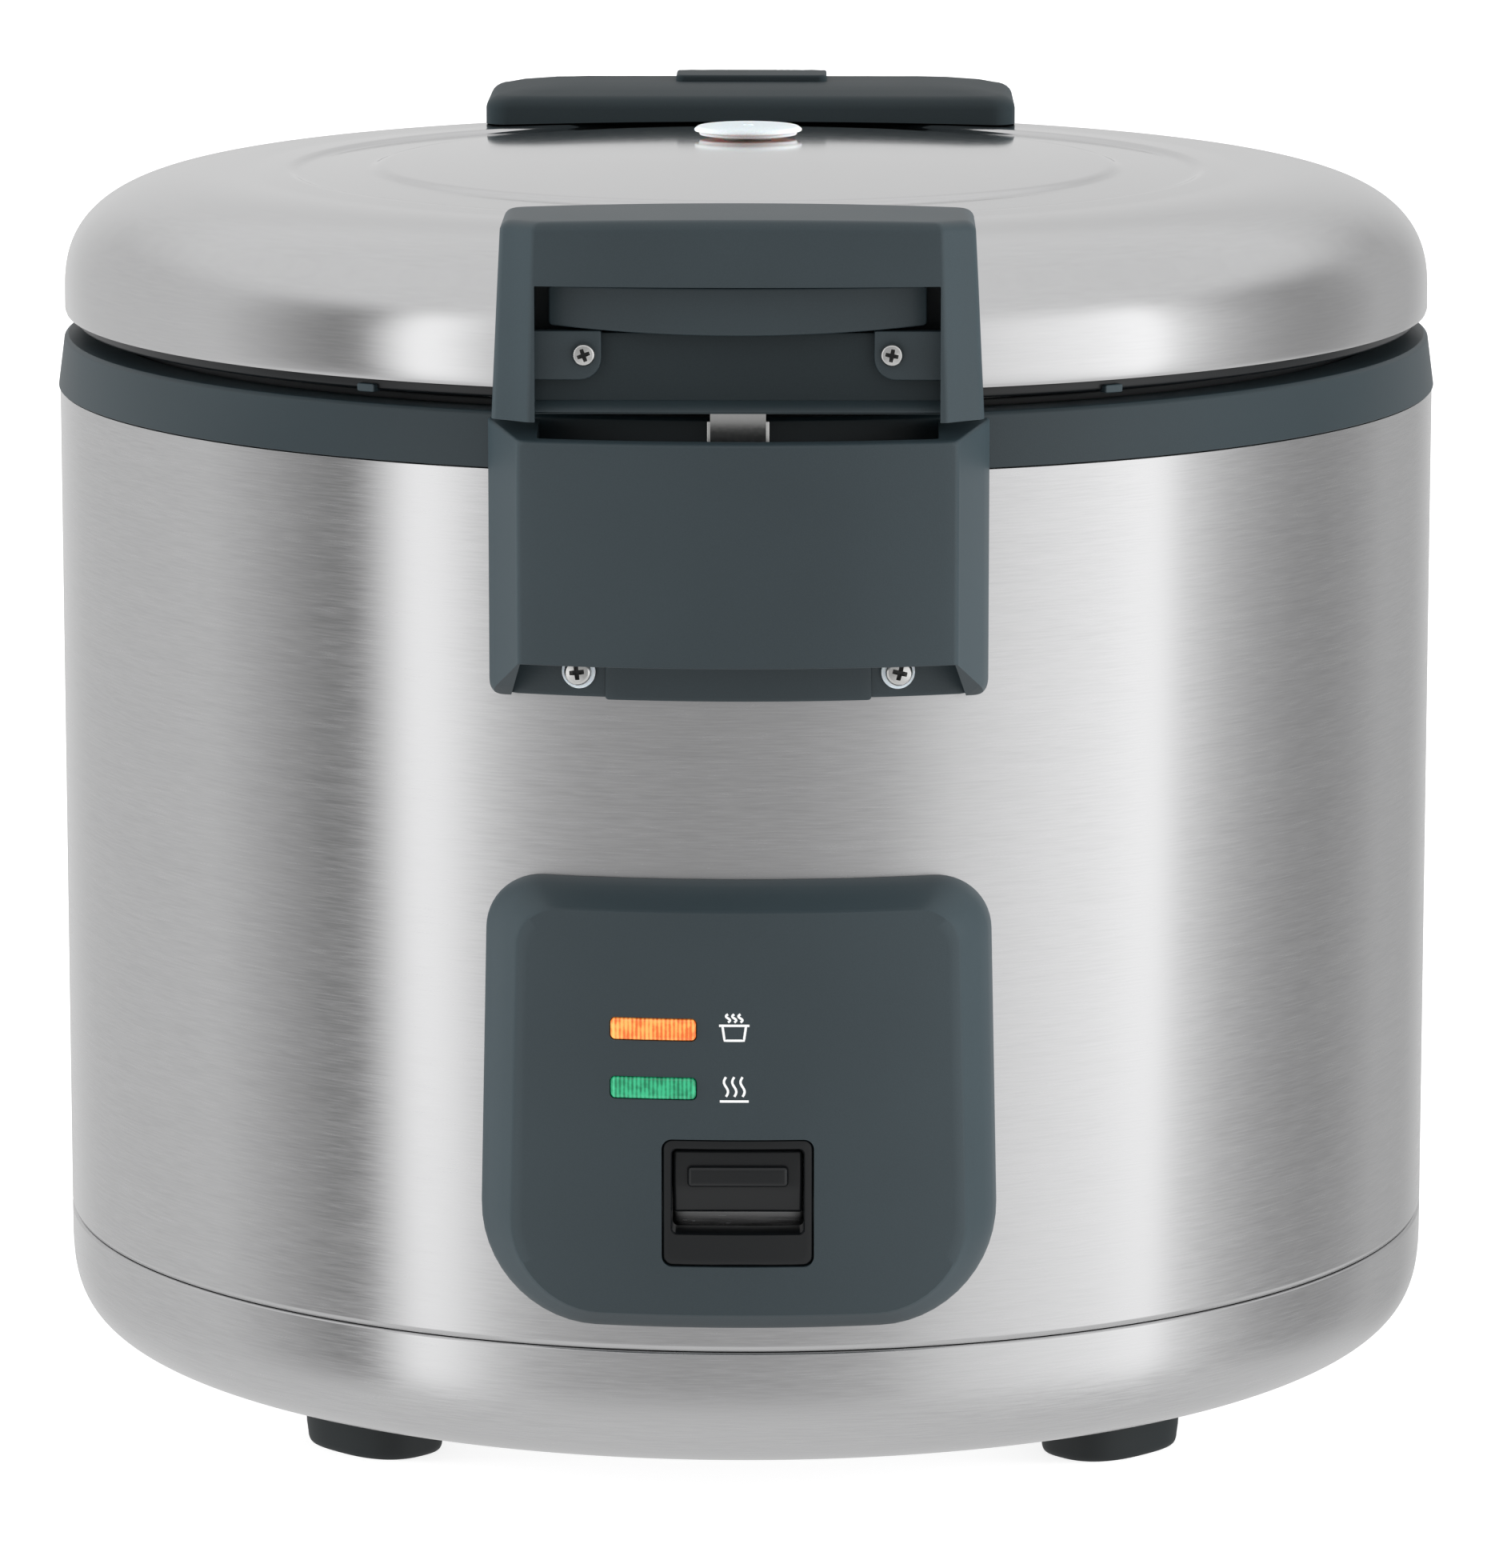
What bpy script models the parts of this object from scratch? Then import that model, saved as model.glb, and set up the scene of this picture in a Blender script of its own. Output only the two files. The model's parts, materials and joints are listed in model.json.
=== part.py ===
"""Drum rice cooker with a rear-hinged lid, a lift latch at the front and a cook lever.

Metres, +Z up.  The drum stands on z = 0 with its axis on x = y = 0, and its front faces -Y.
"""
import math

import bmesh
import bpy
from mathutils import Matrix, Vector

# ------------------------------------------------------------------ driving dimensions
BODY_R = 0.2145            # outer radius of the steel drum
SHELL_H = 0.2604           # height of the steel drum between base pan and collar
FOOT_H = 0.014             # height that the feet hold the pan off the table
PAN_H = 0.040              # height of the base pan
COLLAR_H = 0.0161          # height of the plastic collar on top of the drum
LID_H = 0.0467             # rise of the lid's crown above its lower edge
GAP = 0.0003               # clearance between pieces that touch
STEPS = 40                 # facets round a large turned piece

SHEET_T = 0.0012           # outer steel sheet
PAN_T = 0.0015             # base pan sheet
WALL_T = 0.003             # moulded plastic walls
POT_T = 0.002              # pot wall
POT_SPACE = 0.0305         # from the drum's outside to the pot's outside
PLATE_R = 0.135            # heating plate radius
PLATE_T = 0.0177           # heating plate thickness
PLATE_RISE = 0.0437        # heating plate's top above the seam of drum and pan

# Heights worked out from the stack.
SEAM_Z = FOOT_H + PAN_H
SHELL_TOP = SEAM_Z + SHELL_H
RIM_Z = SHELL_TOP + COLLAR_H
PLATE_Z = SEAM_Z + PLATE_RISE
LID_LOW_Z = RIM_Z + 0.0071             # lower edge of the lid's steel
LID_SHOULDER_Z = LID_LOW_Z + 0.0058    # where the lid's side starts to curve in
COLLAR_R = BODY_R + 0.0005
LID_R = BODY_R - 0.0018
REACH = BODY_R + 0.0285                # front and rear blocks reach equally far

# Lid dome: a rounded shoulder, then a shallow crown with a pressed ring groove.
SHOULDER_W = 0.0584
SHOULDER_H = LID_H - 0.0058 - 0.004
SHOULDER_POWER = 2.61
CROWN_RISE = 0.004
GROOVE_DEPTH = 0.0013
LID_T = 0.001

# Base pan corner.
PAN_CORNER_W = 0.0545
PAN_CORNER_H = PAN_H - 0.0012
PAN_POWER = 3.74
COVER_R = 0.075                        # round access cover under the pan
COVER_OPEN_R = 0.065

# Lid hinge.
PIN_R = 0.003
PIN_Y = BODY_R + 0.012
PIN_Z = RIM_Z + 0.0075
KNUCKLE_R = 0.006
BRACKET_HALF = 0.060
HINGE_PIN_HALF = 0.054

# Control panel, with heights counted up from the seam.
PANEL_LOW = SEAM_Z + 0.0082
PANEL_HIGH = SEAM_Z + 0.1415
PANEL_HALF_LOW = 0.0765
PANEL_HALF_HIGH = 0.0735
PANEL_FACE_R = BODY_R + 0.0173
LENS_DEPTH = 0.0083
SWITCH_Z = SEAM_Z + 0.0488             # centre of the switch recess
SWITCH_HALF_W = 0.02215
SWITCH_HALF_H = 0.019
LEVER_SLOT_HALF = 0.01915
LEVER_LOW = SEAM_Z + 0.0396
LEVER_HIGH = SEAM_Z + 0.0646
LAMP_X = -0.0245
LAMP_SIZE = (0.0248, 0.0063)
COOK_LAMP_Z = SEAM_Z + 0.1003
WARM_LAMP_Z = SEAM_Z + 0.0829

# Cook lever: a see-saw under the pot.
LEVER_PIVOT_Y = -0.110
LEVER_Z = SEAM_Z + 0.008               # middle of the lever's flat arm
ARM_T = 0.002
ARM_HALF_W = 0.007

# Latch, lid handle and release paddle.
LATCH_HALF = 0.0725
LATCH_LOW = SHELL_TOP - 0.0524
LATCH_HIGH = RIM_Z - 0.0013
FLANGE_LOW = LATCH_LOW - 0.0135
HANDLE_HALF = 0.0705
HANDLE_LOW = RIM_Z + 0.0017
HANDLE_HIGH = RIM_Z + 0.0597
HANDLE_FRONT = BODY_R + 0.0257
WINDOW_HALF = 0.058
WINDOW_HIGH = RIM_Z + 0.0407
HANDLE_BACK = BODY_R - 0.0245
PADDLE_PIN_Y = -(BODY_R + 0.003)
PADDLE_PIN_Z = RIM_Z + 0.0145
PADDLE_PIN_R = 0.0015

# Steam vent.
VENT_Y = 0.062
VENT_R = 0.01725
TUBE_R = 0.0075

# feet
FOOT_RING_R = BODY_R - 0.0525          # circle that the feet's centres stand on
FOOT_ANGLES = (44, 136)                # their bearings from the front, on either side
FOOT_HALF = (0.0225, 0.016)            # half sizes along and across that circle

# pot, shield and heater
POT_BEND = 0.015                       # radius of the bend at the pot's floor
FLANGE_W = 0.012                       # width of the pot's flange
FLANGE_T = 0.0015
SHIELD_T = 0.001
SHIELD_SPACE = 0.0055                  # from the pot's side to the heat shield
HUB_R = 0.0215                         # hole in the heating plate for the thermostat
CAP_R = HUB_R - 0.001                  # thermostat cap in that hole
ELEMENT_R = 0.090                      # ring that the heating element is bent to
ELEMENT_WIRE = 0.0038

# release
PADDLE_HALF = 0.054
PADDLE_T = 0.003
PADDLE_H = 0.0132
PADDLE_LOW = RIM_Z + 0.0265
PADDLE_BACK_R = BODY_R + 0.0145
HOOK_HALF = 0.008
HOOK_T = 0.0015

# rear fittings
HOLDER_HALF = 0.040
CUP_HALF = 0.035
CUP_WALL = 0.002
INLET_Z = SEAM_Z + 0.047
INLET_HALF = (0.018, 0.013)
SOCKET_HALF = (0.0125, 0.008)
PLATE_HALF = 0.025                     # plate on top of the hinge cover

# ------------------------------------------------------------------ scene helpers


def clear_scene():
    for obj in list(bpy.data.objects):
        bpy.data.objects.remove(obj, do_unlink=True)


def new_collection(name):
    found = bpy.data.collections.get(name) or bpy.data.collections.new(name)
    if found.name not in bpy.context.scene.collection.children:
        bpy.context.scene.collection.children.link(found)
    return found


clear_scene()
PARTS = new_collection("rice_cooker")
CUTTERS = new_collection("cutters")
MATERIALS = {}


def material(name, color, roughness, metallic=0.0):
    made = bpy.data.materials.new(name)
    made.use_nodes = True
    shader = made.node_tree.nodes["Principled BSDF"]
    shader.inputs["Base Color"].default_value = (*color, 1.0)
    shader.inputs["Roughness"].default_value = roughness
    shader.inputs["Metallic"].default_value = metallic
    MATERIALS[name] = made


material("brushed_steel", (0.46, 0.46, 0.45), 0.32, 1.0)
material("dark_plastic", (0.045, 0.058, 0.065), 0.55)
material("black_plastic", (0.012, 0.012, 0.013), 0.5)
material("white_plastic", (0.78, 0.79, 0.77), 0.4)
material("clear_plastic", (0.72, 0.76, 0.78), 0.2)
material("bright_steel", (0.7, 0.7, 0.7), 0.25, 1.0)
material("aluminium", (0.75, 0.75, 0.76), 0.35, 1.0)
material("rubber", (0.02, 0.02, 0.021), 0.8)
material("silicone", (0.72, 0.71, 0.68), 0.6)
material("insulation", (0.8, 0.78, 0.7), 0.95)
material("orange_lens", (0.9, 0.32, 0.08), 0.25)
material("green_lens", (0.1, 0.6, 0.2), 0.25)
material("brass", (0.75, 0.6, 0.3), 0.3, 1.0)


def place(obj, finish):
    """Link a finished object, give it its material and shade its round faces smooth."""
    PARTS.objects.link(obj)
    obj.data.materials.append(MATERIALS[finish])
    if obj.type == "MESH":
        obj.data.shade_smooth()
        obj.data.set_sharp_from_angle(angle=math.radians(35))
    return obj


def mesh_object(name, bm, finish):
    bmesh.ops.recalc_face_normals(bm, faces=bm.faces)
    if bm.calc_volume(signed=True) < 0:
        bmesh.ops.reverse_faces(bm, faces=bm.faces)
    mesh = bpy.data.meshes.new(name)
    bm.to_mesh(mesh)
    bm.free()
    return place(bpy.data.objects.new(name, mesh), finish)


def set_aside(obj):
    """Turn an object into a hidden operand of a Boolean."""
    PARTS.objects.unlink(obj)
    CUTTERS.objects.link(obj)
    obj.hide_render = True
    obj.display_type = "WIRE"


def combine(obj, other, operation):
    set_aside(other)
    step = obj.modifiers.new(operation.lower(), "BOOLEAN")
    step.operation = operation
    step.solver = "EXACT"
    step.object = other
    return obj


def cut(obj, *cutters):
    for cutter in cutters:
        combine(obj, cutter, "DIFFERENCE")
    return obj


def fuse(obj, *pieces):
    for piece in pieces:
        combine(obj, piece, "UNION")
    return obj


# ------------------------------------------------------------------ shape helpers


def turned(name, profile, finish, axis=(0.0, 0.0), steps=STEPS, closed=True):
    """Turn a profile of (radius, z) points round a vertical axis.

    A closed profile runs down its outer side and back up its inner side.  An open one starts and
    ends on the axis.
    """
    mesh = bpy.data.meshes.new(name)
    count = len(profile)
    edges = [(i, i + 1) for i in range(count - 1)]
    if closed:
        edges.append((count - 1, 0))
    mesh.from_pydata([(r, 0.0, z) for r, z in profile], edges, [])
    obj = bpy.data.objects.new(name, mesh)
    obj.location = (axis[0], axis[1], 0.0)
    place(obj, finish)
    screw = obj.modifiers.new("turn", "SCREW")
    screw.axis = "Z"
    screw.steps = steps
    screw.render_steps = steps
    screw.use_merge_vertices = True
    screw.merge_threshold = 0.00005
    return obj


def ring(name, inner, outer, low, high, finish, **options):
    profile = [(outer, high), (outer, low), (inner, low), (inner, high)]
    return turned(name, profile, finish, **options)


def disc(name, radius, low, high, finish, **options):
    profile = [(0.0, high), (radius, high), (radius, low), (0.0, low)]
    return turned(name, profile, finish, closed=False, **options)


def box(name, low, high, finish, bevel=0.0):
    bm = bmesh.new()
    bmesh.ops.create_cube(bm, size=1.0)
    size = [b - a for a, b in zip(low, high)]
    middle = [(a + b) / 2 for a, b in zip(low, high)]
    bmesh.ops.scale(bm, vec=size, verts=bm.verts)
    bmesh.ops.translate(bm, vec=middle, verts=bm.verts)
    if bevel:
        bmesh.ops.bevel(bm, geom=bm.edges[:], offset=bevel, segments=2, affect="EDGES", profile=0.5)
    return mesh_object(name, bm, finish)


def rod(name, start, end, radius, finish, sides=16):
    """A round bar between two points."""
    start, end = Vector(start), Vector(end)
    along = end - start
    turn = along.to_track_quat("Z", "Y").to_matrix().to_4x4()
    bm = bmesh.new()
    bmesh.ops.create_cone(bm, cap_ends=True, segments=sides, radius1=radius, radius2=radius,
                          depth=along.length, matrix=Matrix.Translation((start + end) / 2) @ turn)
    return mesh_object(name, bm, finish)


def corner(cx, cy, radius, start, count=5):
    """A quarter turn of points that starts at an angle in degrees."""
    angles = [math.radians(start + 90.0 * i / (count - 1)) for i in range(count)]
    return [(cx + radius * math.cos(a), cy + radius * math.sin(a)) for a in angles]


def outline(half_low, half_high, low, high, r_low, r_high, count=5):
    """A rounded outline, symmetric about the first axis, whose two ends may differ in width."""
    return (corner(half_low - r_low, low + r_low, r_low, -90, count)
            + corner(half_high - r_high, high - r_high, r_high, 0, count)
            + corner(r_high - half_high, high - r_high, r_high, 90, count)
            + corner(r_low - half_low, low + r_low, r_low, 180, count))


def slab(name, points, low, high, finish, plane="XY"):
    """Extrude a flat outline: in plane XY up Z, in XZ along Y, in YZ along X."""
    curve = bpy.data.curves.new(name, "CURVE")
    curve.dimensions = "2D"
    curve.fill_mode = "BOTH"
    curve.extrude = (high - low) / 2
    spline = curve.splines.new("POLY")
    spline.points.add(len(points) - 1)
    for point, (u, v) in zip(spline.points, points):
        point.co = (u, v, 0.0, 1.0)
    spline.use_cyclic_u = True
    flat = bpy.data.objects.new(name, curve)
    bpy.context.scene.collection.objects.link(flat)
    bpy.context.view_layer.update()
    mesh = bpy.data.meshes.new_from_object(flat.evaluated_get(bpy.context.evaluated_depsgraph_get()))
    bpy.data.objects.remove(flat, do_unlink=True)
    turns = {"XY": Matrix(((1, 0, 0), (0, 1, 0), (0, 0, 1))),
             "XZ": Matrix(((1, 0, 0), (0, 0, 1), (0, 1, 0))),
             "YZ": Matrix(((0, 0, 1), (1, 0, 0), (0, 1, 0)))}
    bm = bmesh.new()
    bm.from_mesh(mesh)
    bmesh.ops.remove_doubles(bm, verts=bm.verts, dist=0.00001)
    bmesh.ops.translate(bm, vec=(0, 0, (low + high) / 2), verts=bm.verts)
    bmesh.ops.transform(bm, matrix=turns[plane].to_4x4(), verts=bm.verts)
    return mesh_object(name, bm, finish)


def loft_faces(rings):
    """Join rings of the same count with quads and close both ends."""
    bm = bmesh.new()
    rows = [[bm.verts.new(p) for p in points] for points in rings]
    for lower, upper in zip(rows, rows[1:]):
        for i in range(len(lower)):
            j = (i + 1) % len(lower)
            bm.faces.new((lower[i], lower[j], upper[j], upper[i]))
    bm.faces.new(list(reversed(rows[0])))
    bm.faces.new(rows[-1])
    return bm


def loft(name, rings, finish):
    return mesh_object(name, loft_faces(rings), finish)


def wrapped(name, sections, finish, side=-1, pitch=0.015):
    """Loft sections of (radius, outline in x and z), each laid on its own cylinder round the drum.

    A point keeps its x and z and goes to y = side * sqrt(radius^2 - x^2).
    """
    bm = loft_faces([[(x, -r, z) for x, z in points] for r, points in sections])
    reach = max(abs(v.co.x) for v in bm.verts)
    count = int(reach / pitch)
    for i in range(-count, count + 1):
        everything = bm.verts[:] + bm.edges[:] + bm.faces[:]
        bmesh.ops.bisect_plane(bm, geom=everything, dist=0.000001, plane_co=(i * pitch, 0, 0),
                               plane_no=(1, 0, 0))
    for vert in bm.verts:
        vert.co.y = side * math.sqrt(vert.co.y ** 2 - vert.co.x ** 2)
    return mesh_object(name, bm, finish)


def coil(name, centre, radius, wire, length, turns, finish, along="Z"):
    """A wire wound on a helix; its axis runs along X or Z through the centre."""
    per_turn = 10
    curve = bpy.data.curves.new(name, "CURVE")
    curve.dimensions = "3D"
    curve.bevel_depth = wire
    curve.bevel_resolution = 1
    curve.render_resolution_u = 0
    curve.use_fill_caps = True
    spline = curve.splines.new("POLY")
    count = per_turn * turns
    spline.points.add(count)
    for i, point in enumerate(spline.points):
        angle = 2 * math.pi * i / per_turn
        step = length * (i / count - 0.5)
        a, b = radius * math.cos(angle), radius * math.sin(angle)
        offset = (a, b, step) if along == "Z" else (step, a, b)
        point.co = (*(c + o for c, o in zip(centre, offset)), 1.0)
    return place(bpy.data.objects.new(name, curve), finish)


def inset(points, thickness):
    """Move a run of (radius, z) points inwards by a wall's thickness; a negative one moves out.

    Each point moves along the mean normal of the two stretches that meet there.  The run goes
    outwards and down, so the inside is on its right.
    """
    moved = []
    for i, (r, z) in enumerate(points):
        before = points[max(i - 1, 0)]
        after = points[min(i + 1, len(points) - 1)]
        along = Vector((after[0] - before[0], after[1] - before[1])).normalized()
        radius = r if r < 0.000001 else r + along.y * thickness
        moved.append((radius, z - along.x * thickness))
    return moved


def radial_rod(name, x, z, inner, outer, radius, finish, sides=20):
    """A round bar square to the drum's front between two drum radii; x is taken at the collar."""
    angle = math.asin(x / COLLAR_R)
    outward = Vector((math.sin(angle), -math.cos(angle), 0.0))
    lift = Vector((0.0, 0.0, z))
    return rod(name, outward * inner + lift, outward * outer + lift, radius, finish, sides)


def shifted(points, dx):
    return [(x + dx, z) for x, z in points]


# ------------------------------------------------------------------ shared places
CROWN_R = LID_R - SHOULDER_W
LID_TOP = LID_LOW_Z + LID_H
POT_R = BODY_R - POT_SPACE
FLANGE_R = POT_R + FLANGE_W
LEDGE_Z = RIM_Z - 0.0078
POT_RIM_Z = LEDGE_Z + GAP + FLANGE_T
PAN_FLOOR = FOOT_H + PAN_T + GAP
STAND_R = PLATE_R - 0.0155
COVER_LOW = RIM_Z + 0.015
COVER_HIGH = LID_TOP + 0.0077
COVER_HALF = 0.087
COVER_FRONT = BODY_R - 0.0845
COVER_REAR_R = PIN_Y + 0.0078


def crown_z(r):
    return LID_TOP - CROWN_RISE * (r / CROWN_R) ** 2


def lid_side(count=4):
    """The lid's rounded shoulder as a superellipse, from its top outwards and down to its edge."""
    points = []
    for i in range(count + 1):
        t = math.pi / 2 * (1 - i / count)
        across = max(math.cos(t), 0.0) ** (2 / SHOULDER_POWER)
        up = math.sin(t) ** (2 / SHOULDER_POWER)
        points.append((CROWN_R + SHOULDER_W * across, LID_SHOULDER_Z + SHOULDER_H * up))
    return points + [(LID_R - 0.0002, LID_LOW_Z)]


def lid_run(grooved):
    """The lid's outer profile from its centre to its lower edge."""
    top = [(0.0, LID_TOP)]
    if grooved:
        for back, drop in ((0.0403, 0), (0.0373, GROOVE_DEPTH), (0.0143, GROOVE_DEPTH), (0.0113, 0)):
            r = CROWN_R - back
            top.append((r, crown_z(r) - drop))
    return top + lid_side()


def lid_envelope(name):
    """The space that the closed lid fills, with the clearance, to cut what sits on it."""
    run = inset(lid_run(False), -GAP)
    low = LID_LOW_Z - 0.010
    return turned(name, run + [(run[-1][0], low), (0.0, low)], "black_plastic", closed=False)


def tube_hole(name):
    return disc(name, TUBE_R + 0.0004, RIM_Z - 0.01, LID_TOP + 0.01, "black_plastic",
                axis=(0.0, VENT_Y), steps=16)


# ------------------------------------------------------------------ base: casing


def base_pan():
    corner_z = FOOT_H + PAN_CORNER_H
    outer = [(BODY_R, SEAM_Z - GAP)]
    count = 5
    for i in range(1, count + 1):
        t = math.pi / 2 * i / count
        across = max(math.cos(t), 0.0) ** (2 / PAN_POWER)
        down = math.sin(t) ** (2 / PAN_POWER)
        outer.append((BODY_R - PAN_CORNER_W * (1 - across), corner_z - PAN_CORNER_H * down))
    outer.append((COVER_OPEN_R, FOOT_H))
    inner = [(outer[0][0] - PAN_T, outer[0][1])]
    for i in range(1, len(outer) - 1):
        before, here, after = outer[i - 1], outer[i], outer[i + 1]
        along = Vector((after[0] - before[0], after[1] - before[1])).normalized()
        inner.append((here[0] + along.y * PAN_T, here[1] - along.x * PAN_T))
    inner.append((COVER_OPEN_R, FOOT_H + PAN_T))
    turned("base_pan", outer + inner[::-1], "brushed_steel")
    disc("bottom_cover", COVER_R, FOOT_H - 0.0015, FOOT_H - GAP, "brushed_steel")


def feet():
    (half_round, half_radial), count = FOOT_HALF, 20
    front, rear = FOOT_ANGLES
    for name, degrees in (("front_left", -front), ("front_right", front),
                          ("rear_left", -rear), ("rear_right", rear)):
        angle = math.radians(degrees)
        outward = Vector((math.sin(angle), -math.cos(angle), 0))
        sideways = Vector((outward.y, -outward.x, 0))
        centre = outward * FOOT_RING_R
        rings = []
        for z, scale in ((0.0, 0.93), (0.002, 1.0), (FOOT_H - GAP, 1.03)):
            points = []
            for i in range(count):
                t = 2 * math.pi * i / count
                a = math.copysign(abs(math.cos(t)) ** 0.8, math.cos(t)) * half_round * scale
                b = math.copysign(abs(math.sin(t)) ** 0.8, math.sin(t)) * half_radial * scale
                points.append(centre + sideways * a + outward * b + Vector((0, 0, z)))
            rings.append(points)
        loft("foot_" + name, rings, "rubber")


def drum():
    shell = ring("outer_shell", BODY_R - SHEET_T, BODY_R, SEAM_Z, SHELL_TOP - GAP, "brushed_steel")
    slot = box("lever_slot", (-0.010, -BODY_R - 0.01, SEAM_Z + 0.0455),
               (0.010, -BODY_R + 0.01, SEAM_Z + 0.0595), "black_plastic")
    half, tall = (size + 0.0005 for size in INLET_HALF)
    socket = box("inlet_slot", (-half, BODY_R - 0.01, INLET_Z - tall),
                 (half, BODY_R + 0.01, INLET_Z + tall), "black_plastic")
    cut(shell, slot, socket, *latch_holes("shell_hole"))
    turned("rim_collar", [(COLLAR_R - 0.0032, RIM_Z), (COLLAR_R - 0.0020, RIM_Z - 0.0008),
                          (COLLAR_R, SHELL_TOP), (POT_R + 0.0045, SHELL_TOP),
                          (POT_R + 0.0045, LEDGE_Z), (FLANGE_R + 0.0018, LEDGE_Z),
                          (FLANGE_R + 0.0025, RIM_Z)], "dark_plastic")
    low = SEAM_Z + 0.016
    inner, foot = POT_R + SHIELD_SPACE, PLATE_R + 0.005
    outer = inner + SHIELD_T
    turned("heat_shield", [(outer, SHELL_TOP - GAP), (outer, low), (foot, low),
                           (foot, low + SHIELD_T), (inner, low + SHIELD_T),
                           (inner, SHELL_TOP - GAP)], "bright_steel")


# ------------------------------------------------------------------ base: heating


def pot():
    low, bend = PLATE_Z + GAP, POT_BEND
    inner = [(POT_R - POT_T - bend + bend * math.sin(math.radians(a)),
              low + POT_T + bend - bend * math.cos(math.radians(a))) for a in (0, 45, 90)]
    outer = [(POT_R - bend + bend * math.sin(math.radians(a)),
              low + bend - bend * math.cos(math.radians(a))) for a in (90, 45, 0)]
    rim = [(POT_R - POT_T, POT_RIM_Z), (FLANGE_R, POT_RIM_Z),
           (FLANGE_R, LEDGE_Z + GAP), (POT_R, LEDGE_Z + GAP)]
    turned("inner_pot", [(0.0, low + POT_T)] + inner + rim + outer + [(0.0, low)], "aluminium",
           closed=False)


def heater():
    under = PLATE_Z - PLATE_T
    ring("heating_plate", HUB_R, PLATE_R, under, PLATE_Z, "aluminium")
    stand = ring("plate_stand", STAND_R - 0.0015, STAND_R, PAN_FLOOR, under - GAP, "bright_steel")
    doorway = box("stand_doorway", (-0.014, -STAND_R - 0.01, LEVER_Z - 0.010),
                  (0.014, -STAND_R + 0.01, LEVER_Z + 0.010), "black_plastic")
    cut(stand, doorway)
    curve = bpy.data.curves.new("heating_element", "CURVE")
    curve.dimensions = "3D"
    curve.bevel_depth = ELEMENT_WIRE
    curve.bevel_resolution = 2
    curve.render_resolution_u = 0
    curve.use_fill_caps = True
    spline = curve.splines.new("POLY")
    count, radius, opening = 30, ELEMENT_R, math.radians(50)
    spline.points.add(count)
    for i, point in enumerate(spline.points):
        angle = opening / 2 + (2 * math.pi - opening) * i / count
        point.co = (radius * math.sin(angle), -radius * math.cos(angle), under - ELEMENT_WIRE - 0.0004, 1.0)
    place(bpy.data.objects.new("heating_element", curve), "bright_steel")


def thermostat():
    """A spring-loaded cap under the pot; a magnet rod inside it holds the cook lever down."""
    top = PLATE_Z - 0.0007
    inner = CAP_R - 0.0012
    turned("thermostat_cap", [(0.0, top), (CAP_R, top), (CAP_R, top - 0.012),
                              (inner, top - 0.012), (inner, top - 0.0013), (0.0, top - 0.0013)],
           "aluminium", closed=False, steps=24)
    flange = PLATE_Z - PLATE_T - GAP
    floor = LEVER_Z + 0.0085
    turned("thermostat_housing", [(0.0185, PLATE_Z - 0.0077), (0.0185, flange), (0.030, flange),
                                  (0.030, flange - 0.0017), (0.0185, flange - 0.0017),
                                  (0.0185, floor), (0.0045, floor), (0.0045, floor + 0.0015),
                                  (0.0165, floor + 0.0015), (0.0165, PLATE_Z - 0.0077)],
           "bright_steel", steps=24)
    low, high = floor + 0.0024, top - 0.0023
    coil("thermostat_spring", (0, 0, (low + high) / 2), 0.0148, 0.0006, high - low, 3, "bright_steel")
    foot = LEVER_Z + ARM_T / 2 + GAP
    turned("magnet_rod", [(0.0, PLATE_Z - 0.0072), (0.013, PLATE_Z - 0.0072),
                          (0.013, PLATE_Z - 0.0117), (0.003, PLATE_Z - 0.0117),
                          (0.003, foot + 0.0015), (0.007, foot + 0.0015), (0.007, foot),
                          (0.0, foot)], "bright_steel", closed=False, steps=24)


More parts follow.
